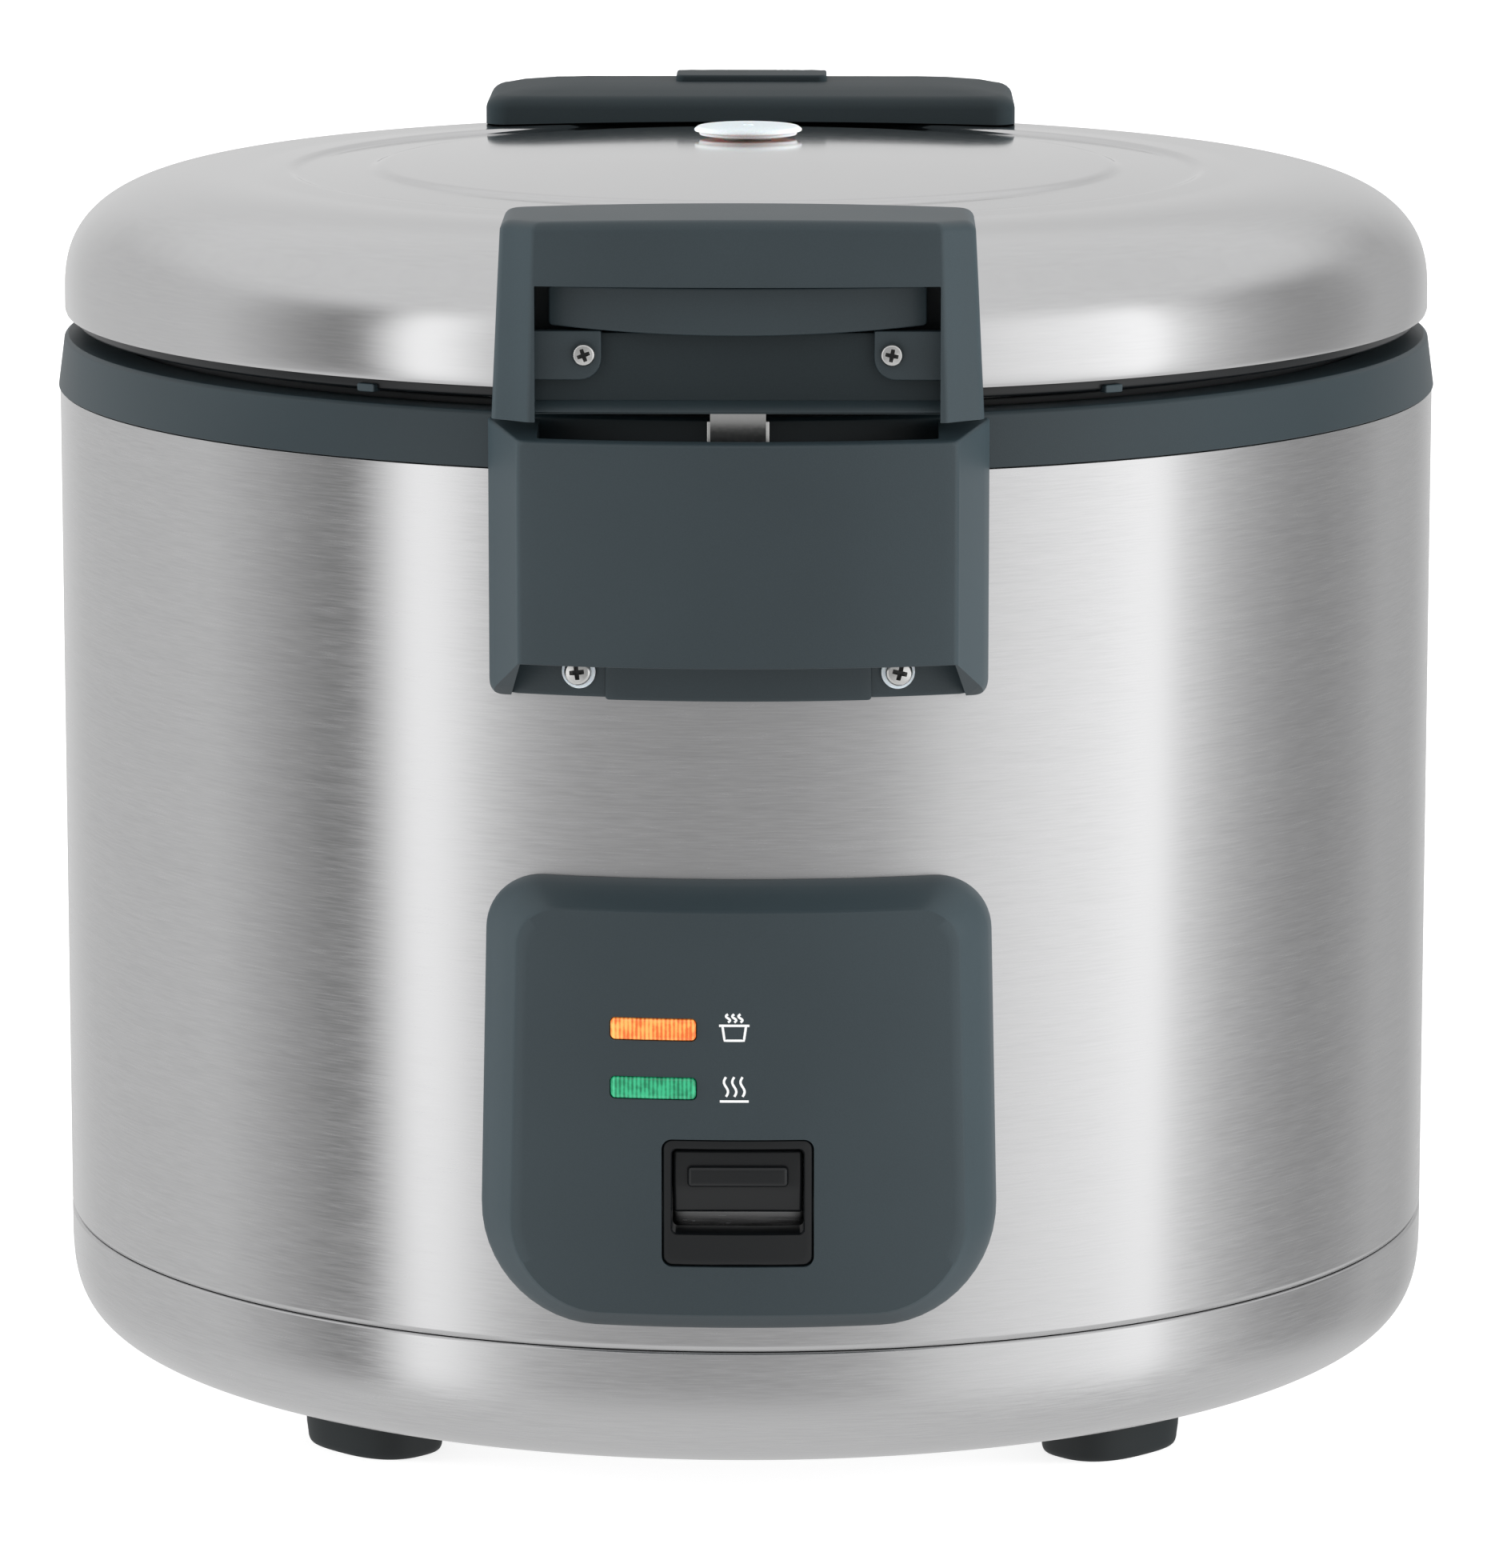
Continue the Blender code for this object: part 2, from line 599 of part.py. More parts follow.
def cook_lever():
    """A see-saw: the paddle goes down at the front and the arm's inner end lifts the magnet rod."""
    drop_y = -(BODY_R - 0.0105)
    paddle_low, paddle_high = LEVER_LOW + 0.0055, LEVER_HIGH - 0.0006
    stub_z = (paddle_low + paddle_high) / 2
    paddle_back = -(BODY_R + 0.0075)
    arm = box("switch_arm", (-ARM_HALF_W, drop_y - 0.001, LEVER_Z - ARM_T / 2),
              (ARM_HALF_W, 0.005, LEVER_Z + ARM_T / 2), "bright_steel")
    riser = box("arm_riser", (-ARM_HALF_W + 0.0002, drop_y - 0.001 + 0.0001, LEVER_Z - ARM_T / 4),
                (ARM_HALF_W - 0.0002, drop_y + 0.001, stub_z), "bright_steel")
    stub = box("arm_stub", (-ARM_HALF_W + 0.0004, paddle_back + GAP, stub_z - 0.001),
               (ARM_HALF_W - 0.0004, drop_y + 0.0008, stub_z + 0.001), "bright_steel")
    pivot = (LEVER_PIVOT_Y, LEVER_Z)
    boss = rod("arm_boss", (-ARM_HALF_W + 0.0003, *pivot), (ARM_HALF_W - 0.0003, *pivot), 0.0035,
               "bright_steel")
    bore = rod("arm_bore", (-0.02, *pivot), (0.02, *pivot), 0.0018, "bright_steel")
    cut(fuse(arm, riser, stub, boss), bore)

    face = PANEL_FACE_R - 0.0035
    paddle = box("cook_switch", (-0.0188, -face, paddle_low), (0.0188, paddle_back, paddle_high),
                 "black_plastic", bevel=0.0008)
    rib = box("switch_rib", (-0.015, -face - 0.002, stub_z - 0.003),
              (0.015, -face + 0.001, stub_z + 0.003), "black_plastic", bevel=0.0007)
    fuse(paddle, rib)

    ear_x = ARM_HALF_W + 0.0015
    frame = box("lever_bracket", (-ear_x - 0.0015, LEVER_PIVOT_Y - 0.005, PAN_FLOOR),
                (ear_x + 0.0015, LEVER_PIVOT_Y + 0.005, LEVER_Z + 0.004), "bright_steel")
    gap = box("bracket_gap", (-ear_x, LEVER_PIVOT_Y - 0.01, PAN_FLOOR + 0.0015),
              (ear_x, LEVER_PIVOT_Y + 0.01, LEVER_Z + 0.01), "bright_steel")
    hole = rod("bracket_bore", (-0.02, *pivot), (0.02, *pivot), 0.0018, "bright_steel")
    cut(frame, gap, hole)
    rod("lever_pin", (-ear_x - 0.003, *pivot), (ear_x + 0.003, *pivot), 0.0015, "bright_steel", 12)
    side = ear_x + 0.0015 + 0.0018
    box("micro_switch", (side, LEVER_PIVOT_Y - 0.0025, LEVER_Z - 0.020),
        (side + 0.006, LEVER_PIVOT_Y + 0.0125, LEVER_Z - 0.005), "black_plastic", bevel=0.0005)


# ------------------------------------------------------------------ base: control panel


def lens_outline(grow=0.0):
    half, tall = LAMP_SIZE[0] / 2 + grow, LAMP_SIZE[1] / 2 + grow
    return shifted(outline(half, half, -tall, tall, tall - 0.00005, tall - 0.00005), LAMP_X)


def raised(points, dz):
    return [(x, z + dz) for x, z in points]


def control_panel():
    back = outline(PANEL_HALF_LOW, PANEL_HALF_HIGH, PANEL_LOW, PANEL_HIGH, 0.034, 0.017)
    shoulder = outline(PANEL_HALF_LOW - 0.0075, PANEL_HALF_HIGH - 0.0055, PANEL_LOW + 0.0055,
                       PANEL_HIGH - 0.005, 0.028, 0.0125)
    face = outline(PANEL_HALF_LOW - 0.0105, PANEL_HALF_HIGH - 0.0075, PANEL_LOW + 0.0075,
                   PANEL_HIGH - 0.0068, 0.024, 0.011)
    panel = wrapped("control_panel", [(BODY_R + GAP, back), (PANEL_FACE_R - 0.0022, shoulder),
                                      (PANEL_FACE_R, face)], "dark_plastic")
    hollow = [(x * 0.94, PANEL_LOW + WALL_T + (z - PANEL_LOW) * 0.955) for x, z in face]
    space = wrapped("panel_space", [(BODY_R - 0.006, hollow), (PANEL_FACE_R - 0.004, hollow)],
                    "dark_plastic")
    recess = outline(SWITCH_HALF_W, SWITCH_HALF_W, SWITCH_Z - SWITCH_HALF_H,
                     SWITCH_Z + SWITCH_HALF_H, 0.003, 0.003, 4)
    well = wrapped("panel_recess", [(BODY_R + 0.004, recess), (PANEL_FACE_R + 0.01, recess)],
                   "dark_plastic")
    cut(panel, space, well)
    for name, z, color in (("cooking_lamp", COOK_LAMP_Z, "orange_lens"),
                           ("warming_lamp", WARM_LAMP_Z, "green_lens")):
        hole = raised(lens_outline(GAP), z)
        cut(panel, wrapped(name + "_hole", [(PANEL_FACE_R - 0.01, hole),
                                            (PANEL_FACE_R + 0.01, hole)], "dark_plastic"))
        lens = raised(lens_outline(), z)
        dome = raised(lens_outline(-0.0008), z)
        wrapped(name, [(PANEL_FACE_R - LENS_DEPTH, lens), (PANEL_FACE_R, lens),
                       (PANEL_FACE_R + 0.0008, dome)], color)
    back_r, far_x = PANEL_FACE_R - LENS_DEPTH, abs(LAMP_X) + LAMP_SIZE[0] / 2
    board_y = -math.sqrt(back_r ** 2 - far_x ** 2) + 0.0004
    box("lamp_board", (LAMP_X - 0.016, board_y, WARM_LAMP_Z - 0.007),
        (LAMP_X + 0.016, board_y + 0.0016, COOK_LAMP_Z + 0.006), "green_lens")

    w, h = SWITCH_HALF_W - GAP, SWITCH_HALF_H - GAP
    frame = outline(w, w, SWITCH_Z - h, SWITCH_Z + h, 0.0028, 0.0028, 4)
    bezel = wrapped("switch_bezel", [(BODY_R + 0.006, frame), (PANEL_FACE_R - 0.0012, frame)],
                    "black_plastic")
    mouth = outline(LEVER_SLOT_HALF, LEVER_SLOT_HALF, LEVER_LOW, LEVER_HIGH, 0.0015, 0.0015, 3)
    cut(bezel, wrapped("bezel_mouth", [(BODY_R, mouth), (PANEL_FACE_R + 0.01, mouth)],
                       "black_plastic"))


# ------------------------------------------------------------------ base: front latch
LATCH_SCREW_X = 0.0454
LATCH_SCREW_Z = LATCH_LOW - 0.0054
FLANGE_FACE_R = COLLAR_R + 0.003


def latch_holes(name):
    return [radial_rod(f"{name}_{side:+d}", side * LATCH_SCREW_X, LATCH_SCREW_Z, BODY_R - 0.012,
                       BODY_R + 0.012, 0.0023, "dark_plastic", 12) for side in (-1, 1)]


def latch():
    back_r = COLLAR_R + GAP
    body = outline(LATCH_HALF, LATCH_HALF, LATCH_LOW, LATCH_HIGH, 0.006, 0.001)
    edge = outline(LATCH_HALF - 0.0065, LATCH_HALF - 0.0065, LATCH_LOW + 0.001, LATCH_HIGH,
                   0.005, 0.001)
    face = outline(LATCH_HALF - 0.010, LATCH_HALF - 0.010, LATCH_LOW + 0.003, LATCH_HIGH - 0.0012,
                   0.004, 0.001)
    block = wrapped("latch_housing", [(back_r, body), (REACH - 0.003, edge), (REACH, face)],
                    "dark_plastic")
    flange = outline(LATCH_HALF - 0.001, LATCH_HALF - 0.001, FLANGE_LOW, LATCH_LOW + 0.008,
                     0.009, 0.002)
    strip = wrapped("latch_flange", [(back_r + 0.0006, flange), (FLANGE_FACE_R, flange)],
                    "dark_plastic")
    floor = LATCH_LOW + 0.0045
    mouth = outline(0.0575, 0.0575, floor, LATCH_HIGH + 0.02, 0.003, 0.002, 3)
    space = wrapped("latch_space", [(BODY_R - 0.01, mouth), (REACH - 0.0035, mouth)],
                    "dark_plastic", pitch=0.0137)
    cut(fuse(block, strip), space, *latch_holes("flange_hole"))
    for side, word in ((-1, "left"), (1, "right")):
        where = (side * LATCH_SCREW_X, LATCH_SCREW_Z)
        washer = radial_rod("latch_washer_" + word, *where, FLANGE_FACE_R + GAP,
                            FLANGE_FACE_R + 0.0013, 0.005, "white_plastic")
        cut(washer, radial_rod("washer_hole_" + word, *where, BODY_R, BODY_R + 0.02, 0.0023,
                               "white_plastic", 12))
        screw = radial_rod("latch_screw_" + word, *where, FLANGE_FACE_R + 0.0016,
                           FLANGE_FACE_R + 0.0036, 0.004, "bright_steel")
        fuse(screw, radial_rod("latch_shank_" + word, *where, BODY_R - 0.007,
                               FLANGE_FACE_R + 0.0026, 0.0019, "bright_steel", 12))
    box("striker_plate", (-0.009, -(COLLAR_R + 0.0017), floor + GAP),
        (0.009, -(COLLAR_R + 0.0005), RIM_Z - 0.0005), "bright_steel")


# ------------------------------------------------------------------ base: rear
def round_ear(name, low_x, high_x, base_z, radius, finish):
    """An upright ear with a round top about the hinge pin."""
    arc = [(PIN_Y + radius * math.cos(math.pi * i / 8), PIN_Z + radius * math.sin(math.pi * i / 8))
           for i in range(9)]
    return slab(name, [(PIN_Y - radius, base_z), (PIN_Y + radius, base_z)] + arc, low_x, high_x,
                finish, "YZ")


def pin_bore(name):
    return rod(name, (-0.08, PIN_Y, PIN_Z), (0.08, PIN_Y, PIN_Z), PIN_R + GAP, "black_plastic")


def hinge():
    high = RIM_Z - 0.0015
    low = high - 0.059
    body = outline(BRACKET_HALF, BRACKET_HALF, low, high, 0.008, 0.001)
    edge = outline(BRACKET_HALF - 0.003, BRACKET_HALF - 0.003, low + 0.002, high, 0.007, 0.001)
    face = outline(BRACKET_HALF - 0.006, BRACKET_HALF - 0.006, low + 0.004, high - 0.001,
                   0.006, 0.001)
    block = wrapped("hinge_bracket", [(COLLAR_R + GAP, body), (REACH - 0.003, edge),
                                      (REACH, face)], "dark_plastic", side=1)
    for side in (-1, 1):
        near, far = sorted((side * 0.0463, side * 0.0520))
        fuse(block, round_ear(f"hinge_ear_{side:+d}", near, far, high - 0.010, KNUCKLE_R,
                              "dark_plastic"))
    cut(block, pin_bore("ear_bore"))
    rod("hinge_pin", (-HINGE_PIN_HALF, PIN_Y, PIN_Z), (HINGE_PIN_HALF, PIN_Y, PIN_Z), PIN_R,
        "bright_steel")
    coil("hinge_spring", (0, PIN_Y, PIN_Z), 0.0046, 0.0008, 0.050, 5, "bright_steel", along="X")
    for side, word in ((-1, "left"), (1, "right")):
        near, far = sorted((side * 0.0365, side * 0.0455))
        radius = KNUCKLE_R - 0.0005
        arc = [(PIN_Y + radius * math.cos(math.pi * (1 + i / 8)),
                PIN_Z + radius * math.sin(math.pi * (1 + i / 8))) for i in range(9)]
        points = arc + [(PIN_Y + radius, COVER_LOW - GAP), (PIN_Y - radius, COVER_LOW - GAP)]
        knuckle = slab("hinge_knuckle_" + word, points, near, far, "bright_steel", "YZ")
        cut(knuckle, pin_bore("knuckle_bore_" + word))


def drip_cup():
    high = RIM_Z - 0.0685
    low = high - 0.057
    frame = outline(HOLDER_HALF, HOLDER_HALF, low, high, 0.006, 0.006)
    wrapped("drip_cup_holder", [(BODY_R + GAP, frame), (BODY_R + 0.004, frame)], "dark_plastic",
            side=1)
    back = BODY_R + 0.0046
    cup = box("drip_cup", (-CUP_HALF, back, low + 0.003), (CUP_HALF, REACH - 0.001, high - 0.007),
              "clear_plastic", bevel=0.002)
    cut(cup, box("cup_space", (-CUP_HALF + CUP_WALL, back + CUP_WALL, low + 0.003 + CUP_WALL),
                 (CUP_HALF - CUP_WALL, REACH - 0.001 - CUP_WALL, high + 0.01), "clear_plastic"))


def power_inlet():
    middle = INLET_Z
    (half, tall), (mouth, deep) = INLET_HALF, SOCKET_HALF
    body = box("power_inlet", (-half, BODY_R - 0.008, middle - tall),
               (half, BODY_R + 0.0185, middle + tall), "black_plastic", bevel=0.001)
    cut(body, box("inlet_socket", (-mouth, BODY_R + 0.0035, middle - deep),
                  (mouth, BODY_R + 0.03, middle + deep), "black_plastic"))
    for i, (x, z) in enumerate(((-0.007, -0.002), (0.0, 0.002), (0.007, -0.002))):
        fuse(body, box(f"inlet_pin_{i}", (x - 0.001, BODY_R + 0.0015, middle + z - 0.0025),
                       (x + 0.001, BODY_R + 0.0145, middle + z + 0.0025), "brass"))


# ------------------------------------------------------------------ lid


def lid_shell():
    run = lid_run(True)
    under = inset(run, LID_T)
    under[-1] = (under[-1][0], LID_LOW_Z)
    shell = turned("lid_shell", run + under[::-1], "brushed_steel", closed=False)
    cut(shell, tube_hole("shell_tube_hole"))


def lid_inside():
    ring("lid_rim", FLANGE_R - 0.010, LID_R - 0.0037, RIM_Z + 0.0035, LID_LOW_Z - GAP, "dark_plastic")
    cover = disc("inner_lid", FLANGE_R + 0.0015, RIM_Z + 0.0020, RIM_Z + 0.0032, "aluminium")
    cut(cover, tube_hole("inner_tube_hole"))
    ring("lid_gasket", FLANGE_R - 0.009, FLANGE_R - 0.0005, POT_RIM_Z + GAP, RIM_Z + 0.0017, "silicone")
    pad = disc("lid_insulation", FLANGE_R - 0.0105, RIM_Z + 0.0035, RIM_Z + 0.0195, "insulation")
    cut(pad, tube_hole("pad_tube_hole"))
    ring("vent_tube", TUBE_R - 0.0015, TUBE_R, RIM_Z - 0.0005, LID_TOP + 0.0015, "silicone",
         axis=(0.0, VENT_Y), steps=16)
    low = LID_TOP + GAP
    turned("steam_vent_cap", [(0.0, low + 0.0033), (0.012, low + 0.0030), (0.0163, low + 0.0023),
                              (VENT_R, low + 0.0014), (VENT_R, low), (TUBE_R + 0.0007, low),
                              (TUBE_R + 0.0007, low + 0.0018), (0.0, low + 0.0018)],
           "white_plastic", axis=(0.0, VENT_Y), closed=False, steps=32)


COVER_CREST_Y = BODY_R - 0.0295        # the cover's top falls away behind this line
COVER_SLOPE = 0.158                    # how steeply it falls
PLATE_RISE_T = 0.0016                  # thickness of the plate on top of the cover


def fallen(y):
    """Height of the cover's top at a distance behind the axis."""
    return COVER_HIGH - max(y - COVER_CREST_Y, 0.0) * COVER_SLOPE


def hinge_cover():
    """The plastic cover over the lid's rear; its rear edge follows the drum."""
    def footprint(trim):
        half = COVER_HALF - trim
        rear = COVER_REAR_R - trim
        side_y = math.sqrt(rear ** 2 - half ** 2)
        spread = math.atan2(half, side_y)
        arc = [(rear * math.sin(spread * (1 - i / 6)), rear * math.cos(spread * (1 - i / 6)))
               for i in range(13)]
        return [(-half, COVER_FRONT + trim), (half, COVER_FRONT + trim)] + arc

    rings = [[Vector((x, y, z)) for x, y in footprint(trim)]
             for z, trim in ((COVER_LOW, 0.0), (COVER_HIGH - 0.004, 0.001),
                             (COVER_HIGH - 0.0012, 0.0022), (COVER_HIGH, 0.005))]
    cover = loft("hinge_cover", rings, "dark_plastic")
    end, above = COVER_REAR_R + 0.01, COVER_HIGH + 0.01
    wedge = slab("cover_wedge", [(COVER_CREST_Y, COVER_HIGH), (end, fallen(end)), (end, above),
                                 (COVER_CREST_Y, above)], -0.1, 0.1, "dark_plastic", "YZ")
    cut(cover, lid_envelope("cover_envelope"), wedge)
    front, rear = COVER_FRONT + 0.035, BODY_R + 0.009
    low = [(y, fallen(y) + GAP) for y in (front, COVER_CREST_Y, rear)]
    high = [(y, z + PLATE_RISE_T) for y, z in low]
    slab("hinge_cover_plate", low + high[::-1], -PLATE_HALF, PLATE_HALF, "dark_plastic", "YZ")


def lid_handle():
    """A hollow housing, open below, with a wide window in front for the fingers."""
    half, front, back = HANDLE_HALF, HANDLE_FRONT, HANDLE_BACK
    slant = 0.0075

    def footprint(trim):
        h, f = half - trim, front - trim
        return [(-h, -back), (-h, -f + slant), (-h + slant, -f), (h - slant, -f),
                (h, -f + slant), (h, -back)]

    rings = [[Vector((x, y, z)) for x, y in footprint(trim)]
             for z, trim in ((HANDLE_LOW, 0.0), (HANDLE_HIGH - 0.006, 0.0),
                             (HANDLE_HIGH - 0.0018, 0.0018), (HANDLE_HIGH, 0.006))]
    housing = loft("lid_handle", rings, "dark_plastic")
    inner_x = half - 0.0095
    space = box("handle_space", (-inner_x, -front + WALL_T, HANDLE_LOW - 0.02),
                (inner_x, -BODY_R + 0.005, HANDLE_HIGH - WALL_T), "dark_plastic")
    window = box("handle_window", (-WINDOW_HALF, -front - 0.01, HANDLE_LOW - 0.02),
                 (WINDOW_HALF, -front + 0.006, WINDOW_HIGH), "dark_plastic")
    cut(housing, lid_envelope("handle_envelope"), space, window)


BASE_BACK = -(BODY_R + 0.0088)         # rear face of the plate inside the handle
BASE_T = 0.002                         # thickness of that plate
EAR_DEPTH = 0.0047                     # how far its screw ears stand in front of its rear face
SCREW_X = 0.044
SCREW_Z = RIM_Z + 0.0201


def handle_base():
    """The plate inside the handle that carries the paddle's pin."""
    low, high = RIM_Z + 0.0030, RIM_Z + 0.0260
    half = HANDLE_HALF - 0.0095 - GAP
    plate = box("handle_base", (-half, BASE_BACK - BASE_T, low), (half, BASE_BACK, high),
                "dark_plastic")
    bores = [rod("base_bore", (-0.08, PADDLE_PIN_Y, PADDLE_PIN_Z), (0.08, PADDLE_PIN_Y, PADDLE_PIN_Z),
                 PADDLE_PIN_R + GAP, "dark_plastic", 12)]
    for side, word in ((-1, "left"), (1, "right")):
        x = side * SCREW_X
        fuse(plate, box("base_ear_" + word, (x - 0.009, BASE_BACK - EAR_DEPTH, SCREW_Z - 0.0075),
                        (x + 0.009, BASE_BACK - BASE_T / 2, high - 0.0005), "dark_plastic"))
        near, far = sorted((side * 0.0470, side * 0.0510))
        fuse(plate, box("base_lug_" + word, (near, BASE_BACK - 0.0003, PADDLE_PIN_Z - 0.0035),
                        (far, PADDLE_PIN_Y + 0.0025, PADDLE_PIN_Z + 0.0035), "dark_plastic"))
        bores.append(rod("screw_bore_" + word, (x, BASE_BACK - 0.02, SCREW_Z),
                         (x, BASE_BACK + 0.02, SCREW_Z), 0.0018, "dark_plastic", 12))
        head_y = BASE_BACK - EAR_DEPTH - GAP
        screw = rod("handle_screw_" + word, (x, head_y - 0.0022, SCREW_Z), (x, head_y, SCREW_Z),
                    0.0034, "bright_steel", 20)
        fuse(screw, rod("handle_shank_" + word, (x, head_y - 0.001, SCREW_Z),
                        (x, BASE_BACK + 0.0015, SCREW_Z), 0.0014, "bright_steel", 12))
    cut(plate, *bores)
    rod("paddle_pin", (-0.053, PADDLE_PIN_Y, PADDLE_PIN_Z), (0.053, PADDLE_PIN_Y, PADDLE_PIN_Z),
        PADDLE_PIN_R, "bright_steel", 12)
    coil("paddle_spring", (0.018, PADDLE_PIN_Y, PADDLE_PIN_Z), 0.0027, 0.0004, 0.014, 3,
         "bright_steel", along="X")


def release():
    """The lift paddle and its hook turn together on the paddle pin."""
    low, high = PADDLE_LOW, PADDLE_LOW + PADDLE_H
    face = outline(PADDLE_HALF, PADDLE_HALF, low, high, 0.002, 0.002, 3)
    paddle = wrapped("release_paddle", [(PADDLE_BACK_R, face), (PADDLE_BACK_R + PADDLE_T, face)],
                     "dark_plastic")
    web_low, web_high = RIM_Z + 0.0295, RIM_Z + 0.0335
    hook_back = PADDLE_PIN_Y - 0.0021
    fuse(paddle, box("paddle_web", (-HOOK_HALF - 0.001, -(BODY_R + 0.0160), web_low),
                     (HOOK_HALF + 0.001, hook_back, web_high), "dark_plastic"))
    for side in (-1, 1):
        near, far = sorted((side * 0.028, side * 0.034))
        fuse(paddle, box(f"paddle_arm_{side:+d}", (near, -PADDLE_BACK_R, web_low),
                         (far, PADDLE_PIN_Y + 0.0018, web_high), "dark_plastic"))
        fuse(paddle, box(f"paddle_leg_{side:+d}",
                         (near + 0.0002, PADDLE_PIN_Y - 0.0022, PADDLE_PIN_Z - 0.003),
                         (far - 0.0002, PADDLE_PIN_Y + 0.0020, web_high - 0.0004), "dark_plastic"))
    cut(paddle, rod("paddle_bore", (-0.04, PADDLE_PIN_Y, PADDLE_PIN_Z),
                    (0.04, PADDLE_PIN_Y, PADDLE_PIN_Z), PADDLE_PIN_R + GAP, "dark_plastic", 12))
    hook_low = RIM_Z - 0.0140
    points = [(hook_back - HOOK_T, hook_low), (PADDLE_PIN_Y + 0.0003, hook_low),
              (PADDLE_PIN_Y + 0.0003, hook_low + 0.001), (hook_back, hook_low + 0.003),
              (hook_back, web_low - GAP), (hook_back - HOOK_T, web_low - GAP)]
    slab("latch_hook", points, -HOOK_HALF, HOOK_HALF, "bright_steel", "YZ")


base_pan()
feet()
drum()
pot()
heater()
thermostat()
cook_lever()
control_panel()
latch()
hinge()
drip_cup()
power_inlet()
lid_shell()
lid_inside()
hinge_cover()
lid_handle()
handle_base()
release()
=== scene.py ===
# %% [markdown]
# # A drum rice cooker, piece by piece
# The object is a catering rice cooker: a brushed steel drum on a rounded pan, a plastic collar,
# a domed steel lid on a rear hinge, and three dark mouldings at the front: the lid handle, the
# latch housing and the control panel.  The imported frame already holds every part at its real
# size.  This lesson dresses that frame: it keeps the places and sizes, and makes fine surfaces.

# %% Load the frame
import json
import math

import bmesh
import bpy
import numpy as np
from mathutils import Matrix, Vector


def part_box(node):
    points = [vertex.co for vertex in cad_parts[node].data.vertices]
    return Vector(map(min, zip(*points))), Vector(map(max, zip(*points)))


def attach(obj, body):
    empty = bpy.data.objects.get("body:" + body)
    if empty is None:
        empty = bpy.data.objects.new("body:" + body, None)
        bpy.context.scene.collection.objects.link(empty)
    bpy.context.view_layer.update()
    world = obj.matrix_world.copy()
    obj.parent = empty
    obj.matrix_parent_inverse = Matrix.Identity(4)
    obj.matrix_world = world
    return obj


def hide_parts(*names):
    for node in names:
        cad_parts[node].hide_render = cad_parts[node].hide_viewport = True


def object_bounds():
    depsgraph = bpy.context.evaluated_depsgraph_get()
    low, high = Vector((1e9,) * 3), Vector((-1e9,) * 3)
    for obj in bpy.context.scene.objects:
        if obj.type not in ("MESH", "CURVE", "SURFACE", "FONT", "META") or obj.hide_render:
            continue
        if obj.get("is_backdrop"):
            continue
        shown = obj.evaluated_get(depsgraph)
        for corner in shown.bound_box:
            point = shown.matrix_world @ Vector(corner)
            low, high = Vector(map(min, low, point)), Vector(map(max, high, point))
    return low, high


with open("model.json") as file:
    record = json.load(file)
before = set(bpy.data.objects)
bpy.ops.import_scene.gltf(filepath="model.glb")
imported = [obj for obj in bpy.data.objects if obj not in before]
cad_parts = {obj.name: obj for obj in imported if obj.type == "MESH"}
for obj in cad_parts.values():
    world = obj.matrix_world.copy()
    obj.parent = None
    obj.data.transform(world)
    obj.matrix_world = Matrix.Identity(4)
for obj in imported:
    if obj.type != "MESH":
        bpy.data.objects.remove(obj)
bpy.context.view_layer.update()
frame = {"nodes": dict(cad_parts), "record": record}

# %% [markdown]
# ## Sizes
# Every size comes from the frame, read once here, so that the fine surfaces lie where the plain
# parts lie.  A box gives a part's lowest and highest corner; a round part's radius is half its
# width.

# %% Read the sizes


def radius_of(node):
    """Half a turned part's width in x."""
    low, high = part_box(node)
    return (high.x - low.x) / 2


def middle_of(node, axis):
    """The middle of a part's box along x, y or z."""
    low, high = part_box(node)
    return (getattr(low, axis) + getattr(high, axis)) / 2


DRUM_R = radius_of("outer_shell")
COLLAR_R = radius_of("rim_collar")
LID_R = radius_of("lid_shell")
SEAM_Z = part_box("outer_shell")[0].z
DRUM_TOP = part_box("outer_shell")[1].z
RIM_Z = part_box("rim_collar")[1].z
PAN_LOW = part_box("base_pan")[0].z
LID_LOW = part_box("lid_shell")[0].z
LID_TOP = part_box("lid_shell")[1].z
PANEL_R = -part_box("control_panel")[0].y
LATCH_R = -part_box("latch_housing")[0].y
print(f"drum {DRUM_R * 2000:.1f} mm across, seam at {SEAM_Z * 1000:.1f}, "
      f"lid top {LID_TOP * 1000:.1f}")

# %% [markdown]
# ## Surfaces from arrays
# A shape is a grid of points, worked out as whole arrays, and one helper turns any grid into a
# mesh.  Rows and columns may close on themselves.  Repeated points, at a pole or along a fill, are
# merged, and the faces are then turned outwards.

# %% Grid to mesh


def to_mesh(name, vertices, faces, outward=True):
    """Points (n, 3) and quads (m, 4) to an object whose doubles are merged and faces point out."""
    mesh = bpy.data.meshes.new(name)
    mesh.from_pydata(vertices.tolist(), [], faces.tolist())
    bm = bmesh.new()
    bm.from_mesh(mesh)
    bmesh.ops.remove_doubles(bm, verts=bm.verts, dist=0.000004)
    bmesh.ops.dissolve_degenerate(bm, edges=bm.edges, dist=0.000002)
    if outward:
        bmesh.ops.recalc_face_normals(bm, faces=bm.faces)
        if bm.calc_volume(signed=True) < 0:
            bmesh.ops.reverse_faces(bm, faces=bm.faces)
    bm.to_mesh(mesh)
    bm.free()
    obj = bpy.data.objects.new(name, mesh)
    bpy.context.scene.collection.objects.link(obj)
    return obj


